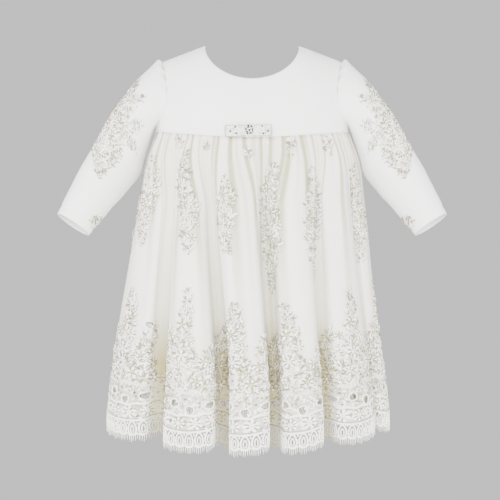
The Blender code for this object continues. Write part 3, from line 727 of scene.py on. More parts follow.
def bead_material(name, colour, roughness, metallic, coat):
    """Glass or metal beads, each a little lighter or darker than the next."""
    material, tree, principled = new_material(name, colour, roughness, 0.0, metallic, coat)
    place = tree.nodes.new("ShaderNodeTexCoord").outputs["Object"]
    cells = shader_node(tree, "ShaderNodeTexVoronoi", place, Scale=400.0)
    separate = tree.nodes.new("ShaderNodeSeparateColor")
    tree.links.new(cells.outputs["Color"], separate.inputs[0])
    dark = tuple(0.55 * channel for channel in colour)
    toned(tree, principled, blended(tree, separate.outputs[0], dark, colour))
    return material


# The lining's, net's and lace ground's deep colours are painted shade in the folds; the dark thread is partly
# grey thread and partly painted shadow.
MATERIALS = {name: make(name, *look) for name, make, *look in (
    ("crepe", satin_material, (0.86, 0.86, 0.845), (0.81, 0.81, 0.795), 0.6, 0.2),
    ("lining", satin_material, (0.88, 0.865, 0.78), (0.84, 0.82, 0.72), 0.45, 0.1, (0.33, 0.28, 0.12)),
    ("net", net_material, (0.98, 0.97, 0.91), (0.38, 0.335, 0.14), 0.55),
    ("lace_ground", net_material, (0.78, 0.765, 0.68), (0.38, 0.33, 0.14), 0.45),
    ("thread", thread_material, (1.0, 0.985, 0.93), (0.92, 0.9, 0.8)),
    ("outline", thread_material, (0.32, 0.29, 0.2), (0.17, 0.15, 0.1)),
    ("gold", thread_material, (0.5, 0.45, 0.15), (0.32, 0.28, 0.08), 0.4, 0.0, 0.1),
    ("silver_bead", bead_material, (0.34, 0.32, 0.27), 0.3, 0.6, 0.0),
    ("crystal", bead_material, (1.0, 1.0, 0.98), 0.1, 0.0, 1.0),
    ("stone", bead_material, (0.02, 0.017, 0.015), 0.6, 0.0, 0.0),
    ("pearl", bead_material, (0.95, 0.92, 0.84), 0.2, 0.0, 0.6),
    ("ribbon", satin_material, (0.76, 0.75, 0.73), (0.6, 0.59, 0.57), 0.3, 0.2),
)}


# Embroidery: flat shapes in millimetres (across, down, height), laid on the cloth together

class Work:
    """Flat stitched shapes gathered as points and faces, then laid on a surface as one piece."""

    def __init__(self):
        self.points, self.faces, self.count = [], [], 0

    def add(self, points, faces):
        self.points.append(np.asarray(points, float))
        self.faces += [tuple(i + self.count for i in face) for face in faces]
        self.count += len(points)


def turned(points, angle, x, y):
    """Points turned about the origin and moved to x, y."""
    points = np.asarray(points, float)
    c, s = math.cos(angle), math.sin(angle)
    out = points.copy()
    out[:, 0] = x + points[:, 0] * c - points[:, 1] * s
    out[:, 1] = y + points[:, 0] * s + points[:, 1] * c
    return out


# Half width and height of a petal or leaf along its length
LEAF_PROFILE = ((0.0, 0.0, 0.3), (0.22, 0.62, 0.75), (0.5, 1.0, 1.0), (0.8, 0.66, 0.8), (1.0, 0.0, 0.3))
LEAF_FACES = band_faces(len(LEAF_PROFILE), 3, closed=False)


def leaf(work, x, y, length, width, angle, height):
    """A padded leaf or petal from its root at x, y."""
    points = []
    for along, half, rise in LEAF_PROFILE:
        for side in (-1, 0, 1):
            points.append((along * length, side * half * width / 2, height * (rise if side == 0 else 0.2)))
    work.add(turned(points, angle, x, y), LEAF_FACES)


# Corners of a flat stitch: share along, share of its width to the side
STITCH_CORNERS = ((0.0, 0.0), (0.3, -0.48), (0.72, -0.42), (1.0, 0.0), (0.72, 0.42), (0.3, 0.48))


def flat_stitch(work, x, y, length, width, angle, height=0.2):
    """A flat leaf-shaped stitch; in the dark thread it is partly grey ground thread and partly painted shadow
    under and between the padded ones.
    """
    points = [(along * length, side * width, height) for along, side in STITCH_CORNERS]
    work.add(turned(points, angle, x, y), [tuple(range(len(points)))])


def cord(work, line, width, height, closed=False):
    """A raised cord along a line of points."""
    line = np.asarray(line, float)
    along = directions(line, closed)
    side = np.stack([-along[:, 1], along[:, 0]], 1) * width / 2
    points = []
    for offset, lift in ((-1, 0.0), (-0.6, 0.8), (0.6, 0.8), (1, 0.0)):
        points.append(np.column_stack([line + side * offset, np.full(len(line), lift * height)]))
    work.add(np.vstack(points), band_faces(len(points), len(line), closed))


def ring(work, x, y, rx, ry, width, height, sides, drop=0.0):
    """An oval ring of cord; drop makes it wider at the bottom, like a hanging drop."""
    t = np.linspace(0, TURN, sides, endpoint=False)
    wide = 1 + drop * np.sin(t)
    line = np.column_stack([x + rx * wide * np.cos(t), y + ry * np.sin(t)])
    cord(work, line, width, height, closed=True)


def bead(work, x, y, radius, lift=0.6):
    """A round bead, a little flattened where it is sewn down."""
    points = [(0, 0, lift + radius)]
    for level, share in ((0.62, 0.78), (0.0, 1.0), (-0.62, 0.78)):
        for i in range(6):
            angle = math.pi / 3 * (i + 0.5 * (level == 0))
            points.append((share * radius * math.cos(angle), share * radius * math.sin(angle),
                           lift + level * radius * 0.9))
    faces = [(0, 1 + i, 1 + (i + 1) % 6) for i in range(6)]
    for level in range(2):
        for i in range(6):
            j = (i + 1) % 6
            a = 1 + 6 * level
            faces.append((a + i, a + 6 + i, a + 6 + j, a + j))
    work.add(turned(points, rng.uniform(0, math.pi), x, y), faces)


SEQUIN_LIFT = 0.9


def sequin(work, x, y, radius):
    """A cupped sequin, tipped a little so that it catches the light its own way."""
    tip = rng.uniform(-0.5, 0.5, 2)
    points = [(0, 0, SEQUIN_LIFT - 0.25)]
    for i in range(7):
        angle = TURN * i / 7
        px, py = radius * math.cos(angle), radius * math.sin(angle)
        points.append((px, py, SEQUIN_LIFT + tip[0] * px + tip[1] * py))
    faces = [(0, 1 + i, 1 + (i + 1) % 7) for i in range(7)]
    work.add(turned(points, 0.0, x, y), faces)


def flower(work, heart, outline, x, y, radius, petals, angle, pointed, height):
    """A flower of padded petals round a heart of its own colour, with dark stitches between them as painted
    shade between the petals.
    """
    start = 0.2 * radius
    for i in range(petals):
        turn = angle + TURN * i / petals
        leaf(work, x + start * math.cos(turn), y + start * math.sin(turn), 0.82 * radius,
             pointed * 2.2 * radius / petals * 1.25, turn, height)
        between = turn + math.pi / petals
        flat_stitch(outline, x + start * math.cos(between), y + start * math.sin(between), 0.8 * radius,
                    0.24 * radius, between, height * 0.6)
    ring(heart, x, y, start, start, 0.22 * radius, height + 0.3, 8)


def laid(name, work, surface, sign, limits, material, lift, shade=None, own_node=False):
    """Put gathered work on its surface as one piece; shade gives it painted shade in the folds."""
    flat = np.vstack(work.points)
    a, b = flat[:, 0], flat[:, 1]
    points = surface(a, b) + normals(surface, a, b, sign, limits) * (flat[:, 2] + lift)[:, None]
    mesh = new_mesh(name, points, work.faces, material, None if shade is None else shade(a, b))
    finish_piece(mesh, own_node)


KINDS = ("thread", "outline", "gold", "silver_bead", "pearl")


def kit():
    """A set of empty works, one for each embroidery material."""
    return {kind: Work() for kind in KINDS}


def add_kit(master, local, place):
    """Add local works, in millimetres, to a master's, which are in the surface's own parameters."""
    for kind in KINDS:
        if local[kind].count:
            flat = np.vstack(local[kind].points)
            a, b = place(flat[:, 0], flat[:, 1])
            master[kind].add(np.column_stack([a, b, flat[:, 2]]), local[kind].faces)


def lay_kit(title, works, surface, sign, limits, shade=None):
    """Lay a kit on a surface, each of its works as a piece."""
    for kind in KINDS:
        if works[kind].count:
            laid(f"{title}_{kind}", works[kind], surface, sign, limits, kind, 0.2, shade)


def spray(local, line, half, leaves, flowers, beads, sequins, stems):
    """An embroidered spray: a stem along a line of (x, y) from its tip down, branches, flowers and filling.

    half gives its half width at shares 0 to 1 of the line. Flowers are rows of share, offset, radius, and
    whether the heart is gold.
    """
    curve = evenly(line)
    span = np.linalg.norm(np.diff(curve(np.linspace(0, 1, 30)), axis=0), axis=1).sum()

    def centre(share):
        return curve(np.atleast_1d(share))[0]

    def width(share):
        return float(np.interp(share, np.linspace(0, 1, len(half)), half))

    cord(local["thread"], curve(np.linspace(0.02, 1, max(6, int(span / 4)))), 1.1, 0.7)
    for i in range(stems):
        share = (i + 0.8) / (stems + 0.3)
        side = 1 if i % 2 else -1
        x, y = centre(share)
        reach = width(share) * rng.uniform(0.6, 0.95)
        rise = reach * rng.uniform(0.4, 0.8)
        bend = [(x, y), (x + 0.5 * side * reach, y - 0.1 * rise), (x + side * reach, y - rise)]
        cord(local["thread"], through(bend, np.linspace(0, 1, 6)), 0.9, 0.6)
    shares = rng.uniform(0, 1, leaves * 3)
    widths = np.interp(shares, np.linspace(0, 1, len(half)), half)
    kept = shares[rng.uniform(0, max(half), len(shares)) < widths][:leaves]
    for share in kept:
        x, y = centre(share)
        offset = rng.uniform(-1, 1) * width(share)
        side = 1 if offset > 0 else -1
        angle = -math.pi / 2 + side * rng.uniform(0.1, 1.5) + rng.normal(0, 0.35)
        length = rng.uniform(3.2, 6.8)
        kind = ("thread", "thread", "thread", "thread", "gold", "outline")[int(rng.integers(0, 6))]
        wide = length * rng.uniform(0.28, 0.45)
        shape = flat_stitch if kind == "outline" else leaf
        shape(local[kind], x + offset, y, length, wide, angle, rng.uniform(0.6, 1.1))
        # A white leaf gets a dark stitch, a little larger and offset, under it as its painted shadow.
        if kind == "thread":
            flat_stitch(local["outline"], x + offset + 0.45, y + 0.45, length * 1.04, wide * 1.2, angle)
    for share, offset, radius, gold in flowers:
        x, y = centre(share)
        flower(local["thread"], local["gold" if gold else "thread"], local["outline"], x + offset, y, radius,
               int(rng.integers(5, 8)), rng.uniform(0, 1), 1.1, 1.6)
        if gold:
            for _ in range(5):
                angle = rng.uniform(0, TURN)
                leaf(local["gold"], x + offset + 0.2 * radius * math.cos(angle),
                     y + 0.2 * radius * math.sin(angle), radius * 0.6, radius * 0.2, angle, 2.0)
        bead(local["pearl"], x + offset, y, 0.12 * radius + 0.3, 1.5)
    for kind, shape, count, low, high in (("silver_bead", bead, beads // 2, 0.55, 0.85),
                                          ("pearl", bead, beads - beads // 2, 0.55, 0.9),
                                          ("silver_bead", sequin, sequins, 0.9, 1.4)):
        for _ in range(count):
            share = rng.uniform(0, 1)
            x, y = centre(share)
            shape(local[kind], x + rng.uniform(-1, 1) * width(share), y, rng.uniform(low, high))


# Placing the embroidery where the photograph shows it

def seen_at(points):
    """Where points, in millimetres, fall in the photograph, in pixels."""
    near = CAMERA_DISTANCE / (CAMERA_DISTANCE + points[:, 1])
    x = CAMERA_X + (points[:, 0] - CAMERA_X) * near
    z = CAMERA_Z + (points[:, 2] - CAMERA_Z) * near
    return np.stack([PHOTO_X0 + x / MM_PER_PIXEL, PHOTO_Z0 - z / MM_PER_PIXEL], 1)


def picker(surface, a_values, b_values):
    """A function that finds the surface's parameters at a pixel of the photograph, on the nearest layer."""
    a, b = (g.ravel() for g in np.meshgrid(a_values, b_values))
    points = surface(a, b)
    pixels = seen_at(points)

    def pick(px, py):
        away = np.hypot(pixels[:, 0] - px, pixels[:, 1] - py)
        close = away < max(1.2, away.min() + 0.3)
        nearest = np.flatnonzero(close)[np.argmin(points[close, 1])]
        return a[nearest], b[nearest]

    return pick


RUN_ROWS = 26
RUN_STEP = 0.05
run_folds = np.linspace(-1, ALL_FOLDS + 1, (ALL_FOLDS + 2) * 90 + 1)


def run_table():
    """Millimetres of cloth along the net from fold -1, one row for each height."""
    heights = [np.full_like(run_folds, i * RUN_STEP) for i in range(RUN_ROWS)]
    return np.array([run_along(net_surface(run_folds, height)) for height in heights])


runs = run_table()


def on_net(p0, v0):
    """Turn millimetres from an anchor on the net into its parameters, measured along the folded cloth."""

    def place(x, y):
        v = np.clip(v0 + y / NET_DROP, 0.002, (RUN_ROWS - 1) * RUN_STEP - 0.001)
        row = (v / RUN_STEP).astype(int)
        share = v / RUN_STEP - row
        p = np.empty_like(x)
        for r in np.unique(row):
            here = row == r
            found = []
            for table in (runs[r], runs[r + 1]):
                start = np.interp(p0, run_folds, table)
                found.append(np.interp(start + x[here], table, run_folds))
            p[here] = found[0] * (1 - share[here]) + found[1] * share[here]
        return p, v

    return place


# How far it is round a sleeve: share of its length, millimetres
SLEEVE_ROUND = ((0.0, 255.0), (0.25, 262.0), (0.5, 228.0), (0.75, 186.0), (1.0, 140.0))


def sleeve_run(w):
    return column_of(SLEEVE_ROUND, 1, w)


def on_sleeve(alpha0, w0):
    """Turn millimetres from an anchor on a sleeve into its parameters."""
    def place(x, y):
        w = np.clip(w0 + y / SLEEVE_LENGTH, 0.004, 0.996)
        return alpha0 + x / sleeve_run(w), w

    return place


# Building the cloth

def build_yoke():
    rise = np.linspace(0, 1, 49)
    half = np.linspace(0, 1, 41)
    under = YOKE_WALL + SEAM_GAP
    for title, across, surface in (
        ("front", np.concatenate([-half[:0:-1], half]), yoke_surface(FRONT)),
        ("back_right", np.concatenate([-half[:0:-1], [0.0, LAP_SHARE]]), yoke_surface(BACK)),
        ("back_left", np.concatenate([[-LAP_SHARE, 0.0], half[2:]]), yoke_surface(BACK, under)),
    ):
        grid_piece(f"yoke_{title}_satin", across, rise, surface, "crepe", wall=1.2,
                   flip=title != "front")


def build_sleeves():
    around = np.arange(136) / 136
    head, arm, cuff = np.linspace(0, 0.1, 16), np.linspace(0.1, 0.94, 70), np.linspace(0.94, 1, 14)
    along = np.concatenate([head[:-1], arm[:-1], cuff])
    for side, hand in HANDS:
        grid_piece(f"sleeve_{side}_satin", around, along, sleeve_surface(hand), "crepe",
                   closed=True, wall=0.9, flip=hand < 0)


# Strips of the gathered net, partly where it lies thin over its lining and partly painted shade of its
# pleats: how many a fold, and how they wander
STRIPS = (
    (2.3, 1.3, 0.4),
    (4.1, 0.7, 0.7),
    (8.7, 0.4, 1.1),
)


# How strongly the strips, partly painted shade, show: share of the way down the skirt, strength
STRIP_STRENGTH = ((0.0, 1.4), (0.3, 1.05), (0.6, 0.6), (1.3, 0.6))


def thin_net_and_painted_pleat_shade(p, v):
    """Narrow upright strips, 0 to 1, that start at the gathers: partly how thin the net lies over its lining,
    partly painted shade of its pleats.
    """
    phase = TURN * p
    total = np.zeros_like(p)
    for count, wander, drift in STRIPS:
        total = total + np.sin(count * phase + 2.5 * np.sin(wander * phase + drift * v) + 3.0 * drift)
    low = column_of(((0.0, 1.0), (0.25, 0.85), (0.7, 0.5), (1.3, 0.35)), 1, v)
    return low * smooth((total / len(STRIPS) + 0.05) / 0.8)


def painted_fold_shade(p, v):
    """Painted shade of the skirt's folds, 0 to 1: how far a point lies back in a fold, where its colour is
    painted darker and warmer.
    """
    back = smooth(((1 + np.cos(TURN * p)) / 2 - 0.4) / 0.6)
    return back * column_of(((0.0, 0.1), (0.35, 0.2), (0.7, 0.45), (0.9, 1.0), (1.3, 1.0)), 1, v)


def painted_lace_shade(s, t):
    """The same painted shade for the border: s counts scallops, t is millimetres below the net's hem."""
    return painted_fold_shade(place_of_scallop(s), 1 + t / NET_DROP)


def strips_and_painted_fold_shade(p, v):
    """The net's tone: painted shade in the folds' depths, and strips where it lies thin, partly painted shade
    of its pleats.
    """
    return np.clip(painted_fold_shade(p, v) + column_of(STRIP_STRENGTH, 1, v) * thin_net_and_painted_pleat_shade(p, v), 0, 1)


def build_skirt():
    for side, first, last in HALVES:
        folds = np.linspace(first + SEAM_INSET, last - SEAM_INSET, (last - first) * 48 + 1)
        down = np.concatenate([np.linspace(0, 0.12, 22)[:-1], np.linspace(0.12, 1, 80)])
        grid_piece(f"skirt_{side}_net", folds, down, net_surface, "net", shade=strips_and_painted_fold_shade, flip=True)
        folds = np.linspace(first + SEAM_INSET, last - SEAM_INSET, (last - first) * 24 + 1)
        down = np.concatenate([np.linspace(0, 0.12, 10)[:-1], np.linspace(0.12, LINING_END, 40)])
        grid_piece(f"lining_{side}_satin", folds, down, lining_surface, "lining", wall=0.7,
                   shade=painted_fold_shade, flip=True)
        lace_ground(side, first, last)


# Gaps in the border, each 1 to 2.4 mm wider or higher than in the solids: share across the scallop, share of
# the way down to the arc, width, height, turn in degrees
LACE_GAPS = (
    (0.17, 0.30, 12.4, 7.6, 20.0),
    (0.42, 0.26, 8.4, 8.4, 45.0),
    (0.61, 0.42, 7.4, 10.0, 0.0),
    (0.84, 0.27, 11.4, 7.6, -25.0),
    (0.10, 0.72, 8.2, 7.0, 30.0),
    (0.36, 0.75, 8.2, 7.4, 10.0),
    (0.64, 0.77, 8.2, 7.4, -10.0),
    (0.90, 0.72, 8.2, 7.0, -30.0),
)
# Pinholes between them, too small for the solids: share across, share of the way down, width, height, turn
LACE_PINHOLES = (
    (0.29, 0.46, 4.0, 3.2, -30.0),
    (0.52, 0.62, 3.8, 3.2, 15.0),
    (0.74, 0.50, 4.0, 3.0, 35.0),
    (0.27, 0.12, 3.6, 3.0, 0.0),
    (0.55, 0.12, 3.8, 3.2, 20.0),
    (0.72, 0.20, 3.4, 3.0, -40.0),
    (0.49, 0.90, 4.0, 2.8, 0.0),
    (0.23, 0.88, 3.8, 3.0, 30.0),
    (0.77, 0.88, 3.8, 3.0, -30.0),
)
ALL_GAPS = LACE_GAPS + LACE_PINHOLES
GROUND_STEP = 2.2


def gap_outline(row, grow=0.0, sides=14):
    """A drop-shaped gap's closed edge line, in millimetres from the scallop's left end and down from the
    net's hem.
    """
    u, share, width, height, turn = row
    t = np.linspace(0, TURN, sides, endpoint=False)
    narrow = 1 - 0.28 * np.sin(t)
    loop = np.column_stack([(width / 2 + grow) * np.cos(t) * narrow, (height / 2 + grow) * np.sin(t), 0 * t])
    down = share * float(arc_line(u))
    return turned(loop, math.radians(turn), u * SCALLOP_WIDTH, down)[:, :2]


def within(points, loop):
    """Which points lie inside a closed loop."""
    found = np.zeros(len(points), bool)
    x, y = points[:, 0], points[:, 1]
    for (x0, y0), (x1, y1) in zip(loop, np.roll(loop, -1, 0)):
        crosses = (y0 > y) != (y1 > y)
        if y1 != y0:
            found ^= crosses & (x < x0 + (y - y0) / (y1 - y0) * (x1 - x0))
    return found


def ground_pattern():
    """One scallop of the border's ground laid flat, down to the arc and cut round its gaps."""
    u = np.linspace(0, 1, 43)
    arc = arc_line(u)
    top = np.column_stack([u * SCALLOP_WIDTH, np.zeros_like(u)])
    sides = np.arange(GROUND_STEP, ARC_AT_CUSP, GROUND_STEP)
    right = np.column_stack([np.full_like(sides, SCALLOP_WIDTH), sides])
    left = np.column_stack([np.zeros_like(sides), sides])
    rim = np.vstack([top, right, np.column_stack([u * SCALLOP_WIDTH, arc])[::-1], left[::-1]])
    loops = [rim] + [gap_outline(row) for row in ALL_GAPS]
    x, t = (np.arange(GROUND_STEP, end, GROUND_STEP) for end in (SCALLOP_WIDTH - 1, 44))
    inner = np.column_stack([grid.ravel() for grid in np.meshgrid(x, t)])
    low = arc_line(inner[:, 0] / SCALLOP_WIDTH)
    inner = inner[inner[:, 1] < low - 0.8]
    for row in ALL_GAPS:
        inner = inner[~within(inner, gap_outline(row, 0.8))]
    edges, start = [], 0
    for loop in loops:
        edges += [(start + i, start + (i + 1) % len(loop)) for i in range(len(loop))]
        start += len(loop)
    flat = [Vector(point) for point in np.vstack(loops + [inner]).tolist()]
    made, _, faces, *_ = delaunay_2d_cdt(flat, edges, [], 1, 1e-4)
    points = np.array([tuple(p) for p in made])
    middles = np.array([points[list(face)].mean(axis=0) for face in faces])
    cut = np.zeros(len(faces), bool)
    for loop in loops[1:]:
        cut |= within(middles, loop)
    return points, [face for face, gone in zip(faces, cut) if not gone]


def lace_ground(side, first, last):
    """The border's net ground with its gaps cut through, one pattern for every scallop."""
    flat, pattern = ground_pattern()
    points, tones, uv, faces = [], [], [], []
    for k in range(first, last):
        s = np.clip(k + flat[:, 0] / SCALLOP_WIDTH, first + SEAM_INSET, last - SEAM_INSET)
        faces += [tuple(i + len(flat) * (k - first) for i in face[::-1]) for face in pattern]
        points.append(lace_surface(s, flat[:, 1]))
        tones.append(painted_lace_shade(s, flat[:, 1]))
        uv.append(np.column_stack([s * SCALLOP_WIDTH, flat[:, 1]]) / 100.0)
    mesh = new_mesh(f"hem_lace_{side}_ground", np.vstack(points), faces, "lace_ground", np.hstack(tones))
    index = np.empty(len(mesh.loops), dtype=np.int32)
    mesh.loops.foreach_get("vertex_index", index)
    mesh.uv_layers.new(name="cloth").data.foreach_set("uv", np.vstack(uv)[index].ravel())
    finish_piece(mesh, True)


SEAM_SIDES = 8


def seam_piece(name, line, radius, closed=False):
    """A thin round cord along a line in space, as a seam's rolled edge."""
    along = directions(line, closed)
    side = unit(np.cross(along, unit(line * [1, 1, 0])))
    up = np.cross(side, along)
    points = []
    for i in range(SEAM_SIDES):
        turn = TURN * i / SEAM_SIDES
        points.append(line + radius * (math.cos(turn) * side + math.sin(turn) * up))
    count = len(line)
    wrapped = band_faces(SEAM_SIDES + 1, count, closed)
    faces = [tuple(i % (SEAM_SIDES * count) for i in face) for face in wrapped]
    if not closed:
        faces.append(tuple(k * count for k in range(SEAM_SIDES)))
        faces.append(tuple(k * count + count - 1 for k in reversed(range(SEAM_SIDES))))
    finish_piece(new_mesh(name, np.vstack(points), faces, "crepe"))


def build_seams():
    """Rolled seam edges that close the small gaps between the cut pieces."""
    t = np.linspace(-1, 1, 161)
    for title, face in (("front", FRONT), ("back", BACK)):
        line = yoke_surface(face)(0.995 * t, np.zeros_like(t)) + [0, -face * 0.75, -0.1]
        seam_piece(f"waist_seam_{title}", line, 0.75)
    loop = armhole_loop(np.linspace(0, 1, 121)[:-1]) + [-0.45, 0.0, -0.1]
    for side, hand in HANDS:
        seam_piece(f"armhole_seam_{side}", loop * [hand, 1, 1], 0.8, closed=True)


def scallop_place(k):
    """Millimetres from a scallop's middle, and down from the net's hem, as the border's parameters."""
    return lambda x, t: (np.clip(k + 0.5 + x / SCALLOP_WIDTH, SEAM_INSET, ALL_FOLDS - SEAM_INSET), t)


# Flowers of a hem spray: share down its stem, offset, radius, gold heart
HEM_FLOWERS = (
    (0.2, 1.0, 4.0, False),
    (0.36, -2.0, 7.0, True),
    (0.47, -14.0, 5.5, True),
    (0.5, 12.0, 5.5, False),
    (0.66, 1.0, 7.5, False),
    (0.7, 24.0, 6.0, True),
    (0.72, -25.0, 6.0, False),
    (0.86, -11.0, 6.0, False),
    (0.9, 14.0, 6.5, True),
    (0.93, -36.0, 6.0, False),
    (0.93, 37.0, 6.0, False),
)
HEM_SPRAY_HALF = (1.5, 4.5, 7.0, 8.0, 10.0, 13.0, 19.0, 29.0, 38.0, 43.0)


def lace_work(local):
    """The embroidery of one scallop of the border, round its gaps, in millimetres from its middle."""
    thread, outline = local["thread"], local["outline"]
    u = np.linspace(0, 1, 8 * LOOPS + 1)
    x = (u - 0.5) * SCALLOP_WIDTH
    arc = arc_line(u)
    cord(thread, np.column_stack([x, lace_edge(u) - 0.7]), 1.7, 1.0)
    cord(thread, np.column_stack([x, arc]), 2.6, 1.3)
    # The dark cord just above the arc, and the one just below the wavy band, are painted shadow beside the
    # raised cords.
    cord(outline, np.column_stack([x, arc - 2.1]), 0.9, 0.4)
    wave = 0.9 * np.sin(TURN * 5 * u)
    cord(thread, np.column_stack([x, arc - 20.0 + wave]), 3.2, 1.2)
    cord(outline, np.column_stack([x, arc - 17.6 + wave]), 0.8, 0.4)
    for i in range(LOOPS):
        share = (i + 0.5) / LOOPS
        top = arc_line(share)
        bottom = lace_edge(share)
        middle, reach = (top + bottom) / 2, (bottom - top) / 2 - 1.0
        at = (share - 0.5) * SCALLOP_WIDTH
        ring(thread, at, middle - 0.2, 3.9, reach - 0.6, 1.7, 1.0, 20, 0.22)
        ring(thread, at, middle + 0.8, 1.5, 0.55 * reach, 1.2, 0.9, 20, 0.22)
        leaf(thread, at + SCALLOP_WIDTH / LOOPS / 2, top + 1.0, 3.2, 1.8, math.pi / 2, 0.9)
    for i, at in enumerate((-36.0, -19.0, -1.5, 16.0, 33.5)):
        top = float(arc_line(at / SCALLOP_WIDTH + 0.5))
        radius = 8.2 if i % 2 else 7.4
        flower(thread, thread, outline, at, top - 10.2, radius, 7 if i % 2 else 8, 0.4 * i, 1.35, 1.0)
        for side in (-1, 1):
            leaf(thread, at + 8.6, top - 9.5 - 3.4 * side, 5.5, 2.4, side * 1.2 + math.pi / 2, 0.9)
    holes = [gap_outline(row, 0.7) for row in ALL_GAPS]
    for row in LACE_GAPS:
        loop = gap_outline(row, 0.8, 16)
        cord(thread, np.column_stack([loop[:, 0] - SCALLOP_WIDTH / 2, loop[:, 1]]), 1.7, 1.1, closed=True)
    sown = np.column_stack([rng.uniform(0, SCALLOP_WIDTH, 520), rng.uniform(-10, 44, 520)])
    low = arc_line(sown[:, 0] / SCALLOP_WIDTH)
    above = sown[:, 1] < low - 21
    sown = sown[above | ((sown[:, 1] < low - 3) & (rng.uniform(0, 1, len(sown)) < 0.25))]
    for hole in holes:
        sown = sown[~within(sown, hole)]
    for i, (across, drop) in enumerate(sown):
        kind = ("thread", "thread", "thread", "thread", "outline", "thread", "gold")[i % 7]
        length = rng.uniform(2.8, 5.0)
        shape = flat_stitch if kind == "outline" else leaf
        shape(local[kind], across - SCALLOP_WIDTH / 2, drop, length, length * rng.uniform(0.36, 0.5),
              rng.uniform(0, TURN), rng.uniform(0.5, 1.0))
    for _ in range(24):
        at, drop = rng.uniform(-44, 44), rng.uniform(-8, 22)
        bead(local["silver_bead" if rng.uniform() < 0.6 else "pearl"], at, drop, rng.uniform(0.5, 0.8))


# Fringe strands a scallop, and a strand's sections: share of its length, share of its width
STRANDS = 48
STRAND_SECTIONS = ((0, 1.0), (0.5, 0.9), (1.0, 0.35))
STRAND_HALF = 0.4


def fringe_piece(side, first, last):
    """Eyelash threads along the scallops' edge, each a thin tapering strand that leans a little."""
    work = Work()
    faces = band_faces(len(STRAND_SECTIONS), 3)
    for k in range(first, last):
        for i in range(STRANDS):
            share = (i + 0.5) / STRANDS
            length = rng.uniform(7.2, 8.8)
            lean = rng.normal(0, 0.25) / SCALLOP_WIDTH
            top = float(lace_edge(share)) - 0.8
            points = []
            for down, narrow in STRAND_SECTIONS:
                middle = k + share + lean * down**1.5
                half = STRAND_HALF / SCALLOP_WIDTH * narrow
                for s, height in ((middle - half, 0.1), (middle, 0.45 * narrow), (middle + half, 0.1)):
                    s = min(max(s, first + SEAM_INSET), last - SEAM_INSET)
                    points.append((s, top + length * down, height))
            work.add(points, faces)
    laid(f"hem_fringe_{side}_threads", work, lace_surface, -1, LACE_LIMITS, "thread", 0.15,
         painted_lace_shade, own_node=True)


def build_hem():
    for side, first, last in HALVES:
        lace, sprays = kit(), kit()
        for k in range(first, last):
            local = kit()
            lace_work(local)
            add_kit(lace, local, scallop_place(k))
            local = kit()
            lean, top = rng.uniform(-9, 9), rng.uniform(-128, -108)
            line = ((lean, top), (lean * 0.2 + 3, 0.75 * top), (-3, 0.45 * top), (2, -25), (0, -4))
            half = np.array(HEM_SPRAY_HALF) * rng.uniform(0.85, 1.15, len(HEM_SPRAY_HALF))
            spray(local, line, half, 480, HEM_FLOWERS, 90, 60, 11)
            for hand in (-1, 1):
                at, top = hand * rng.uniform(25, 35), rng.uniform(-84, -56)
                line = ((at + 5, top), (at - 3, 0.6 * top), (at, -18))
                blooms = ((0.4, 0, 4.5, hand > 0), (0.75, 2, 5.0, False))
                spray(local, line, (1.5, 6, 8, 9, 11), 110, blooms, 24, 16, 5)
            add_kit(sprays, local, scallop_place(k))
        for title, works in (("lace", lace), ("spray", sprays)):
            lay_kit(f"hem_{title}_{side}", works, lace_surface, -1, LACE_LIMITS, painted_lace_shade)
        fringe_piece(side, first, last)


# Sprays of the upper skirt as the photograph shows them: pixel of the tip, pixel of the foot, half width in
# millimetres, and how many leaves, gold flowers and white flowers
SKIRT_SPRAYS = (
    (150, 155, 143, 248, 15, 110, 1, 4),
    (187, 151, 184, 254, 14, 120, 2, 3),
    (222, 174, 226, 254, 13, 100, 3, 2),
    (266, 163, 272, 293, 19, 190, 3, 5),
    (312, 164, 316, 280, 16, 150, 3, 3),
    (352, 162, 363, 264, 15, 120, 1, 4),
    (176, 136, 177, 149, 5, 14, 0, 1),
    (246, 146, 247, 159, 4, 12, 0, 1),
    (291, 136, 292, 158, 4, 16, 0, 1),
    (328, 136, 331, 156, 5, 18, 0, 1),
    (205, 140, 206, 152, 4, 10, 0, 1),
)
# The same for the sides and back, as fold count, share of the drop at the tip and at the foot
HIDDEN_SPRAYS = (
    (6.55, 0.14, 0.52, 15, 120, 2, 3),
    (7.5, 0.10, 0.50, 15, 120, 1, 4),
    (8.5, 0.16, 0.58, 17, 150, 3, 3),
    (9.5, 0.12, 0.50, 15, 120, 2, 3),
    (10.5, 0.16, 0.60, 17, 150, 2, 4),
    (11.5, 0.10, 0.50, 15, 120, 2, 3),
    (12.45, 0.14, 0.54, 15, 120, 1, 4),
    (8.0, 0.07, 0.12, 4, 14, 0, 1),
    (10.0, 0.07, 0.13, 4, 14, 0, 1),
    (12.0, 0.08, 0.14, 4, 14, 0, 1),
)


def spray_on_net(master, p0, v0, length, half, leaves, gold, white):
    """One upright spray, its tip at fold p0 and share v0 of the drop."""
    local = kit()
    sway = rng.uniform(-0.25, 0.25) * half
    line = ((0, 0), (sway, 0.3 * length), (-sway, 0.65 * length), (0, length))
    flowers = []
    for i in range(gold + white):
        share = 0.16 + 0.72 * (i + rng.uniform(0.2, 0.8)) / (gold + white)
        offset = rng.uniform(-0.45, 0.45) * half
        radius = min(6.5, 0.45 * half) * rng.uniform(0.8, 1.05)
        flowers.append((share, offset, radius, i % 2 == 0 and gold > 0))
    leaves = 2 * leaves
    beads, sequins, stems = (4, 2, 1) if length < 40 else (leaves // 3, leaves // 5, 7)
    widths = (0.15 * half, 0.7 * half, half, 0.95 * half, 0.6 * half, 0.3 * half)
    spray(local, line, widths, leaves, flowers, beads, sequins, stems)
    add_kit(master, local, on_net(p0, v0))


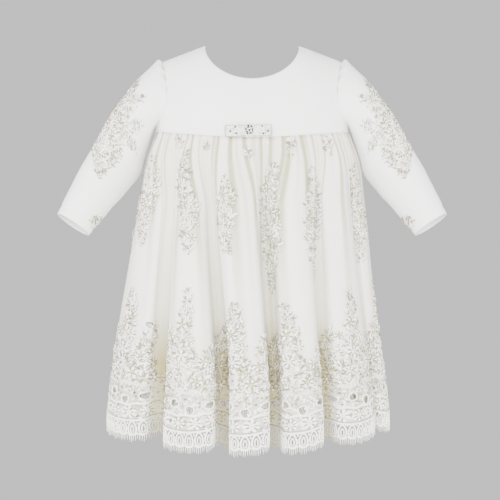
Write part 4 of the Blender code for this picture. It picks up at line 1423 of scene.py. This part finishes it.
def build_sprays():
    pick = picker(net_surface, np.linspace(0.02, FRONT_FOLDS - 0.02, 900), np.linspace(0, 1, 260))
    front, back = kit(), kit()
    for tip_x, tip_y, foot_x, foot_y, half, leaves, gold, white in SKIRT_SPRAYS:
        _, v_top = pick(tip_x, tip_y)
        p_middle, _ = pick((tip_x + foot_x) / 2, (tip_y + foot_y) / 2)
        _, v_foot = pick(foot_x, foot_y)
        length = (v_foot - v_top) * NET_DROP
        spray_on_net(front, p_middle, v_top, length, half, leaves, gold, white)
    for p, v_top, v_foot, half, leaves, gold, white in HIDDEN_SPRAYS:
        spray_on_net(back, p, v_top, (v_foot - v_top) * NET_DROP, half, leaves, gold, white)
    for side, works in (("front", front), ("back", back)):
        lay_kit(f"skirt_spray_{side}", works, net_surface, -1, SKIRT_LIMITS, painted_fold_shade)


SLEEVE_LIMITS = ((-1.0, 2.0, 0.004), (0.0, 1.0, 0.002))
# Sprays of a sleeve: pixels along the stem from its tip, half widths in millimetres, leaves, flowers, beads,
# sequins and stems
SLEEVE_SPRAYS = (
    (((137, 82), (127, 97), (114, 118), (105, 138), (97, 156), (97, 173)),
     (4, 15, 26, 32, 34, 29, 18, 5), 800,
     ((0.16, 0, 4.5, False), (0.28, -6, 6.5, True), (0.4, 6, 6.0, False), (0.5, -9, 6.5, True),
      (0.56, 9, 7.0, True), (0.68, -3, 6.0, False), (0.8, -2, 6.0, True), (0.92, 1, 3.5, False)),
     170, 100, 10),
    (((146, 124), (137, 126), (127, 130)), (1.5, 5, 8), 40, ((0.6, 0, 4.0, False),), 12, 8, 4),
    (((137, 148), (131, 142), (124, 136)), (2, 7, 9), 60, ((0.5, 0, 4.5, False),), 18, 12, 4),
    (((144, 95), (137, 98), (130, 104)), (1.5, 5, 8), 40, ((0.6, 0, 4.0, False),), 12, 8, 4),
)


def build_sleeve_work():
    """The sleeve's spray along its outer edge and the sprig at the cuff, the same on both sleeves."""
    pick = picker(sleeve_surface(-1), np.linspace(-0.1, 0.5, 300), np.linspace(0, 1, 260))
    works = kit()
    anchor = pick(116, 125)
    place = on_sleeve(*anchor)
    for pixels, half, leaves, flowers, beads, sequins, stems in SLEEVE_SPRAYS:
        local = kit()
        line = []
        for px, py in pixels:
            alpha, w = pick(px, py)
            line.append((float(sleeve_run(w) * (alpha - anchor[0])), float(SLEEVE_LENGTH * (w - anchor[1]))))
        spray(local, line, half, leaves, flowers, beads, sequins, stems)
        add_kit(works, local, place)
    local = kit()
    line = ((0, -14), (2, -4), (-2, 6), (1, 15))
    spray(local, line, (1, 6, 9, 8, 5), 90, ((0.5, 0, 4.0, False),), 24, 14, 4)
    add_kit(works, local, on_sleeve(*pick(98, 222)))
    for side, hand in HANDS:
        lay_kit(f"sleeve_spray_{side}", works, sleeve_surface(hand), hand, SLEEVE_LIMITS)


# Bow: stones, as millimetres from the bow's middle and radius
BOW_X = -4.5
BOW_Z = -115.5
BOW_TURN = math.radians(-1.0)
BOW_SEAT = -CHEST_DEPTH[FRONT] - 0.45
# Where its work lies out from the seat: over the knot's half width, and over the loops beside it
KNOT_HALF = 4.6
KNOT_LEVEL = 7.55
LOOP_LEVEL = 6.2
# The edges are dark thread: painted shade along the ribbon's edges, and dark mottle stitches.
BOW_LOOKS = {"stones": "stone", "settings": "pearl", "crystals": "crystal", "edges": "outline"}
BOW_STONES = (
    (-23.0, -0.6, 1.25), (-16.4, 5.0, 1.1), (-15.4, -3.2, 1.2),
    (17.2, 5.2, 1.1), (18.4, -4.0, 1.25), (24.4, -0.8, 1.2),
    (-0.2, 6.2, 1.2), (3.7, 5.2, 1.25), (-0.5, 3.9, 1.1), (-3.4, 1.9, 1.2), (1.2, 0.4, 1.3), (5.0, 1.4, 1.2),
    (-2.0, -1.6, 1.2), (-1.6, -3.6, 1.1), (2.6, -3.2, 1.3), (5.2, -1.2, 1.0),
)


def bow_point(x, out, z):
    """A point across, out and up from the bow's middle."""
    c, s = math.cos(BOW_TURN), math.sin(BOW_TURN)
    return BOW_X + x * c + z * s, BOW_SEAT - out, BOW_Z - x * s + z * c


def pinch(x):
    """How much of its width the ribbon keeps on its way in to the knot."""
    return 0.82 + 0.18 * smooth((x - 2) / 8)


def loop_point(hand):
    """One loop, by share of the ribbon's width and angle round it."""
    def point(share, t):
        z = share * 14.0
        x = 15.2 + 14.0 * signed_power(math.cos(t), 0.35)
        crease = 0.25 * math.sin(1.1 * x + 0.5 * z) * smooth((12 - x) / 10)
        return hand * x, 3.9 + 2.2 * signed_power(math.sin(t), 0.7) + crease, z * pinch(x)

    return point


def knot_point(share, t):
    """The knot, the same way."""
    x = share * 8.0
    out = 3.9 + 3.5 * signed_power(math.sin(t), 0.6) + 0.12 * math.cos(2.2 * x)
    return x * (1 - 0.06 * math.cos(t * 2)), out, 8.1 * signed_power(math.cos(t), 0.45)


def ribbon_piece(name, rows, columns, point):
    points = []
    for r in range(rows):
        for c in range(columns):
            points.append(bow_point(*point(r / (rows - 1) - 0.5, TURN * c / columns)))
    mesh = new_mesh(name, np.array(points, float), band_faces(rows, columns), "ribbon")
    finish_piece(mesh, True, wall=0.5, offset=0.0)


def build_bow():
    """Two flat ribbon loops and a knot over them, sewn with stones, crystals and fine stitches, with dark
    cords of painted shade along the ribbon's edges.
    """
    for side, hand in HANDS:
        ribbon_piece(f"bow_loop_{side}_ribbon", 17, 56, loop_point(hand))
    ribbon_piece("bow_knot_ribbon", 15, 40, knot_point)
    works = {title: Work() for title in BOW_LOOKS}
    crystals, edges = works["crystals"], works["edges"]
    for x, z, radius in BOW_STONES:
        bead(works["stones"], x, z, 1.4 * radius, 0.0)
        ring(works["settings"], x, z, radius + 0.25, radius + 0.25, 0.4, 0.5, 10)
        bead(crystals, x + 1.7, z + 1.5, 0.6, 0.0)
        bead(crystals, x - 1.6, z - 1.7, 0.55, 0.0)
    sown = np.random.default_rng(61).uniform
    for _ in range(110):
        x, z = sown(-28.0, 28.0), sown(-6.0, 6.0)
        flat_stitch(edges, x, z, sown(1.4, 3.2), sown(0.5, 0.9), sown(0, TURN))
        bead(crystals, sown(-28.0, 28.0), sown(-6.0, 6.0), sown(0.5, 0.9), 0.0)
    # Dark cords along the ribbon's edges and across the loops' ends are painted shade where the ribbon turns
    # away.
    for x0, x1, end in ((-29.2, -5.0, -29.2), (5.0, 29.2, 29.2)):
        across = np.linspace(x0, x1, 20)
        for z in (-6.6, 6.6):
            cord(edges, np.column_stack([across, z * pinch(np.abs(across))]), 0.8, 0.25)
        cord(edges, [(end, z) for z in (-6.4, 0.0, 6.4)], 0.8, 0.25)
    for title, work in works.items():
        x, z, height = np.vstack(work.points).T
        out = np.where(np.abs(x) < KNOT_HALF, KNOT_LEVEL, LOOP_LEVEL) + height
        mesh = new_mesh(f"bow_{title}", np.column_stack(bow_point(x, out, z)), work.faces, BOW_LOOKS[title],
                        soft=False)
        finish_piece(mesh)


def build_buttons():
    """The solids' own buttons keep their shape and take the pearl finish."""
    for node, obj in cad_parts.items():
        if node.startswith("button"):
            obj.data.materials.clear()
            obj.data.materials.append(MATERIALS["pearl"])


# Light, floor and camera

# name, place, size, power
LIGHTS = (
    ("front", (0.0, -2.6, 0.2), 1.8, 105.0),
    ("low_front", (0.2, -2.3, -0.85), 1.3, 82.0),
    ("key", (-1.0, -1.6, 1.1), 1.0, 55.0),
    ("low_back", (0.3, 2.3, -0.8), 1.4, 46.0),
    ("left_side", (-2.1, -1.0, -0.35), 1.4, 74.0),
    ("right_side", (2.1, -1.0, -0.35), 1.4, 76.0),
    ("back", (0.0, 2.2, 0.6), 1.6, 70.0),
)
LIT_POINT = (0, 0, -0.27)


def area_light(name, place, size, power):
    light = bpy.data.lights.new(name, "AREA")
    light.size = size
    light.energy = power
    obj = bpy.data.objects.new(name, light)
    obj.location = place
    aim = Vector(LIT_POINT) - Vector(place)
    obj.rotation_euler = aim.to_track_quat("-Z", "Y").to_euler()
    bpy.context.scene.collection.objects.link(obj)


def build_studio():
    world = bpy.data.worlds.new("studio")
    bpy.context.scene.world = world
    world.use_nodes = True
    background = world.node_tree.nodes["Background"]
    background.inputs["Color"].default_value = (BACKDROP, BACKDROP, BACKDROP, 1.0)
    background.inputs["Strength"].default_value = 1.0
    for light in LIGHTS:
        area_light(*light)
    bm = bmesh.new()
    bmesh.ops.create_circle(bm, cap_ends=True, segments=64, radius=1.3)
    mesh = bpy.data.meshes.new("floor")
    bm.to_mesh(mesh)
    bm.free()
    mesh.materials.append(new_material("floor", (0.55, 0.55, 0.55), 0.8)[0])
    floor = bpy.data.objects.new("floor", mesh)
    floor.location = (0, 0.2, -0.95)
    bpy.context.scene.collection.objects.link(floor)
    camera = bpy.data.cameras.new("camera")
    camera.sensor_width = 36.0
    camera.lens = 36.0 * CAMERA_DISTANCE / (PHOTO_SIZE * MM_PER_PIXEL)
    obj = bpy.data.objects.new("camera", camera)
    obj.location = (CAMERA_X * MM, -CAMERA_DISTANCE * MM, CAMERA_Z * MM)
    obj.rotation_euler = (math.pi / 2, 0, 0)
    bpy.context.scene.collection.objects.link(obj)
    bpy.context.scene.camera = obj


build_studio()
build_yoke()
build_sleeves()
build_skirt()
build_seams()
build_hem()
build_sprays()
build_sleeve_work()
build_bow()
build_buttons()
